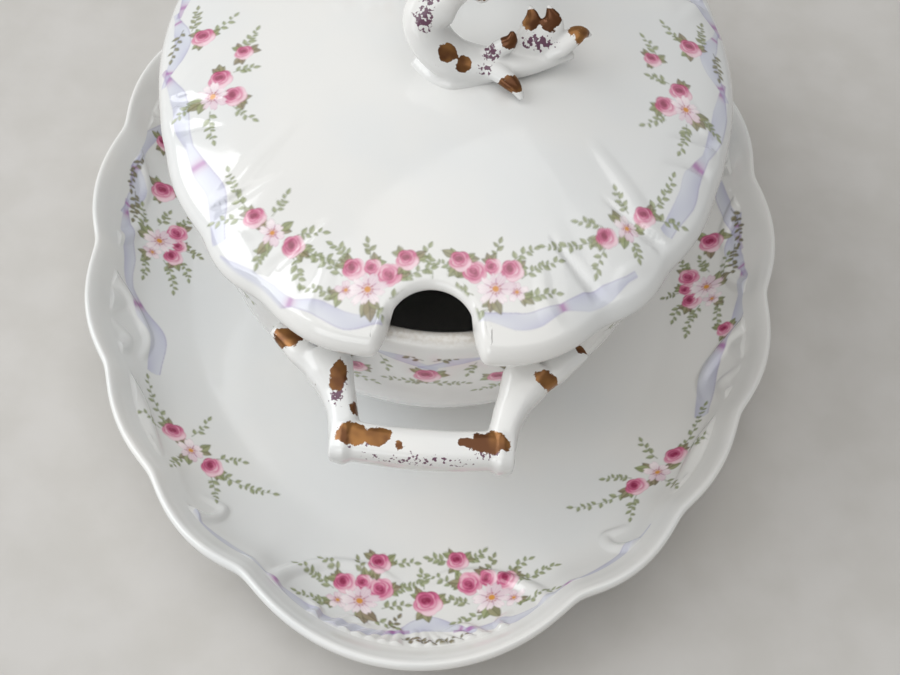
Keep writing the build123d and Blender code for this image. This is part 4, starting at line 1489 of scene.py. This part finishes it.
FINIAL_RESIDUE = []
for turned in (1, -1):
    for x, y, z, size in (
        (11.4, -15.2, 7.6, (2.4, 2.6, 2.6)), (15.6, -9.8, 8.6, (2.4, 2.6, 3.4)),
        (19.2, -9.8, 8.8, (2.8, 2.8, 3.6)), (25.4, -9.8, 5.2, (3.6, 2.6, 2.4)),
        (12.6, -21.2, 1.6, (3.2, 2.6, 2.0)), (4.4, -14.6, 18.8, (3.2, 2.6, 2.2)),
        (-0.5, -19.2, 6.6, (2.8, 2.4, 2.8)), (2.6, -19.6, 4.4, (2.2, 2.4, 2.0)),
        (-2.0, -19.2, 4.6, (2.2, 2.4, 2.0)),
    ):
        FINIAL_GOLD.append(((turned * x, turned * y, CROWN + z), size))
    for x, y, z, size in (
        (-6.0, -16.0, 12.0, (3.0, 3.6, 5.0)), (-5.0, -14.0, 17.0, (3.4, 3.6, 3.0)),
        (8.0, -16.5, 5.0, (2.6, 2.6, 2.0)), (17.0, -12.0, 5.0, (5.0, 2.6, 2.4)),
        (7.0, -19.0, 3.0, (2.6, 2.0, 1.6)),
    ):
        FINIAL_RESIDUE.append(((turned * x, turned * y, CROWN + z), size))
gild(finial, FINIAL_GOLD, FINIAL_RESIDUE)
finial.data.materials.append(gilded_porcelain)
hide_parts("lid_finial")
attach(finial, "lid")

# ---------------------------------------------------------------------------------------------
# Table, light and camera.  A pale plain table, a large soft window from behind and to the left,
# and two fainter panels, seen from above one end as when the dish is set down to be looked at.

table_material = bpy.data.materials.new("table_top")
table_material.use_nodes = True
tree = table_material.node_tree
place = add_node(tree, "ShaderNodeTexCoord").outputs["Object"]
mottle = add_node(tree, "ShaderNodeTexNoise", Vector=place, Scale=60.0, Detail=5.0).outputs["Fac"]
shader = tree.nodes["Principled BSDF"]
tree.links.new(
    mixed(tree, ramped(tree, mottle, 0.3, 0.7), (0.56, 0.54, 0.51, 1), (0.60, 0.58, 0.555, 1)),
    shader.inputs["Base Color"],
)
shader.inputs["Roughness"].default_value = 0.75
bpy.ops.mesh.primitive_plane_add(size=4.0)
table_top = bpy.context.object
table_top.name = "table_top"
table_top.data.materials.append(table_material)


def soft_panel(name, place, aim, width, height, watts, colour):
    light = bpy.data.lights.new(name, "AREA")
    light.shape, light.size, light.size_y = "RECTANGLE", width, height
    light.energy, light.color = watts, colour
    lamp = bpy.data.objects.new(name, light)
    lamp.location = place
    lamp.rotation_euler = (Vector(aim) - Vector(place)).to_track_quat("-Z", "Y").to_euler()
    bpy.context.scene.collection.objects.link(lamp)


soft_panel("window", (-1.25, 0.05, 1.05), (0.0, -0.03, 0.05), 1.5, 1.1, 17.0, (0.965, 0.985, 1.0))
soft_panel("sky", (0.1, -0.2, 1.70), (0.0, 0.0, 0.0), 1.8, 1.8, 10.5, (1.0, 0.985, 0.95))
soft_panel("front", (-0.5, -1.3, 0.6), (0.0, -0.1, 0.02), 1.0, 0.7, 4.0, (0.96, 0.98, 1.0))

world = bpy.data.worlds.new("studio")
world.use_nodes = True
world.node_tree.nodes["Background"].inputs["Color"].default_value = (0.84, 0.85, 0.86, 1.0)
world.node_tree.nodes["Background"].inputs["Strength"].default_value = 0.35
bpy.context.scene.world = world
bpy.context.scene.view_settings.view_transform = "Standard"

EYE = (-0.0027, -0.2252, 0.2853)
PITCH, YAW, ROLL = math.radians(54.8), math.radians(2.38), math.radians(-6.26)
forward = Vector((
    math.sin(YAW) * math.cos(PITCH), math.cos(YAW) * math.cos(PITCH), -math.sin(PITCH)
))
level = forward.cross(Vector((0, 0, 1))).normalized()
across = forward.cross(level)
right = level * math.cos(ROLL) + across * math.sin(ROLL)
down = across * math.cos(ROLL) - level * math.sin(ROLL)
lens = bpy.data.cameras.new("camera")
lens.lens, lens.sensor_width = 56.0, 36.0
lens.clip_start, lens.clip_end = 0.01, 20.0
camera = bpy.data.objects.new("camera", lens)
turned = Matrix((right, -down, -forward)).transposed().to_4x4()
camera.matrix_world = Matrix.Translation(EYE) @ turned
bpy.context.scene.collection.objects.link(camera)
bpy.context.scene.camera = camera
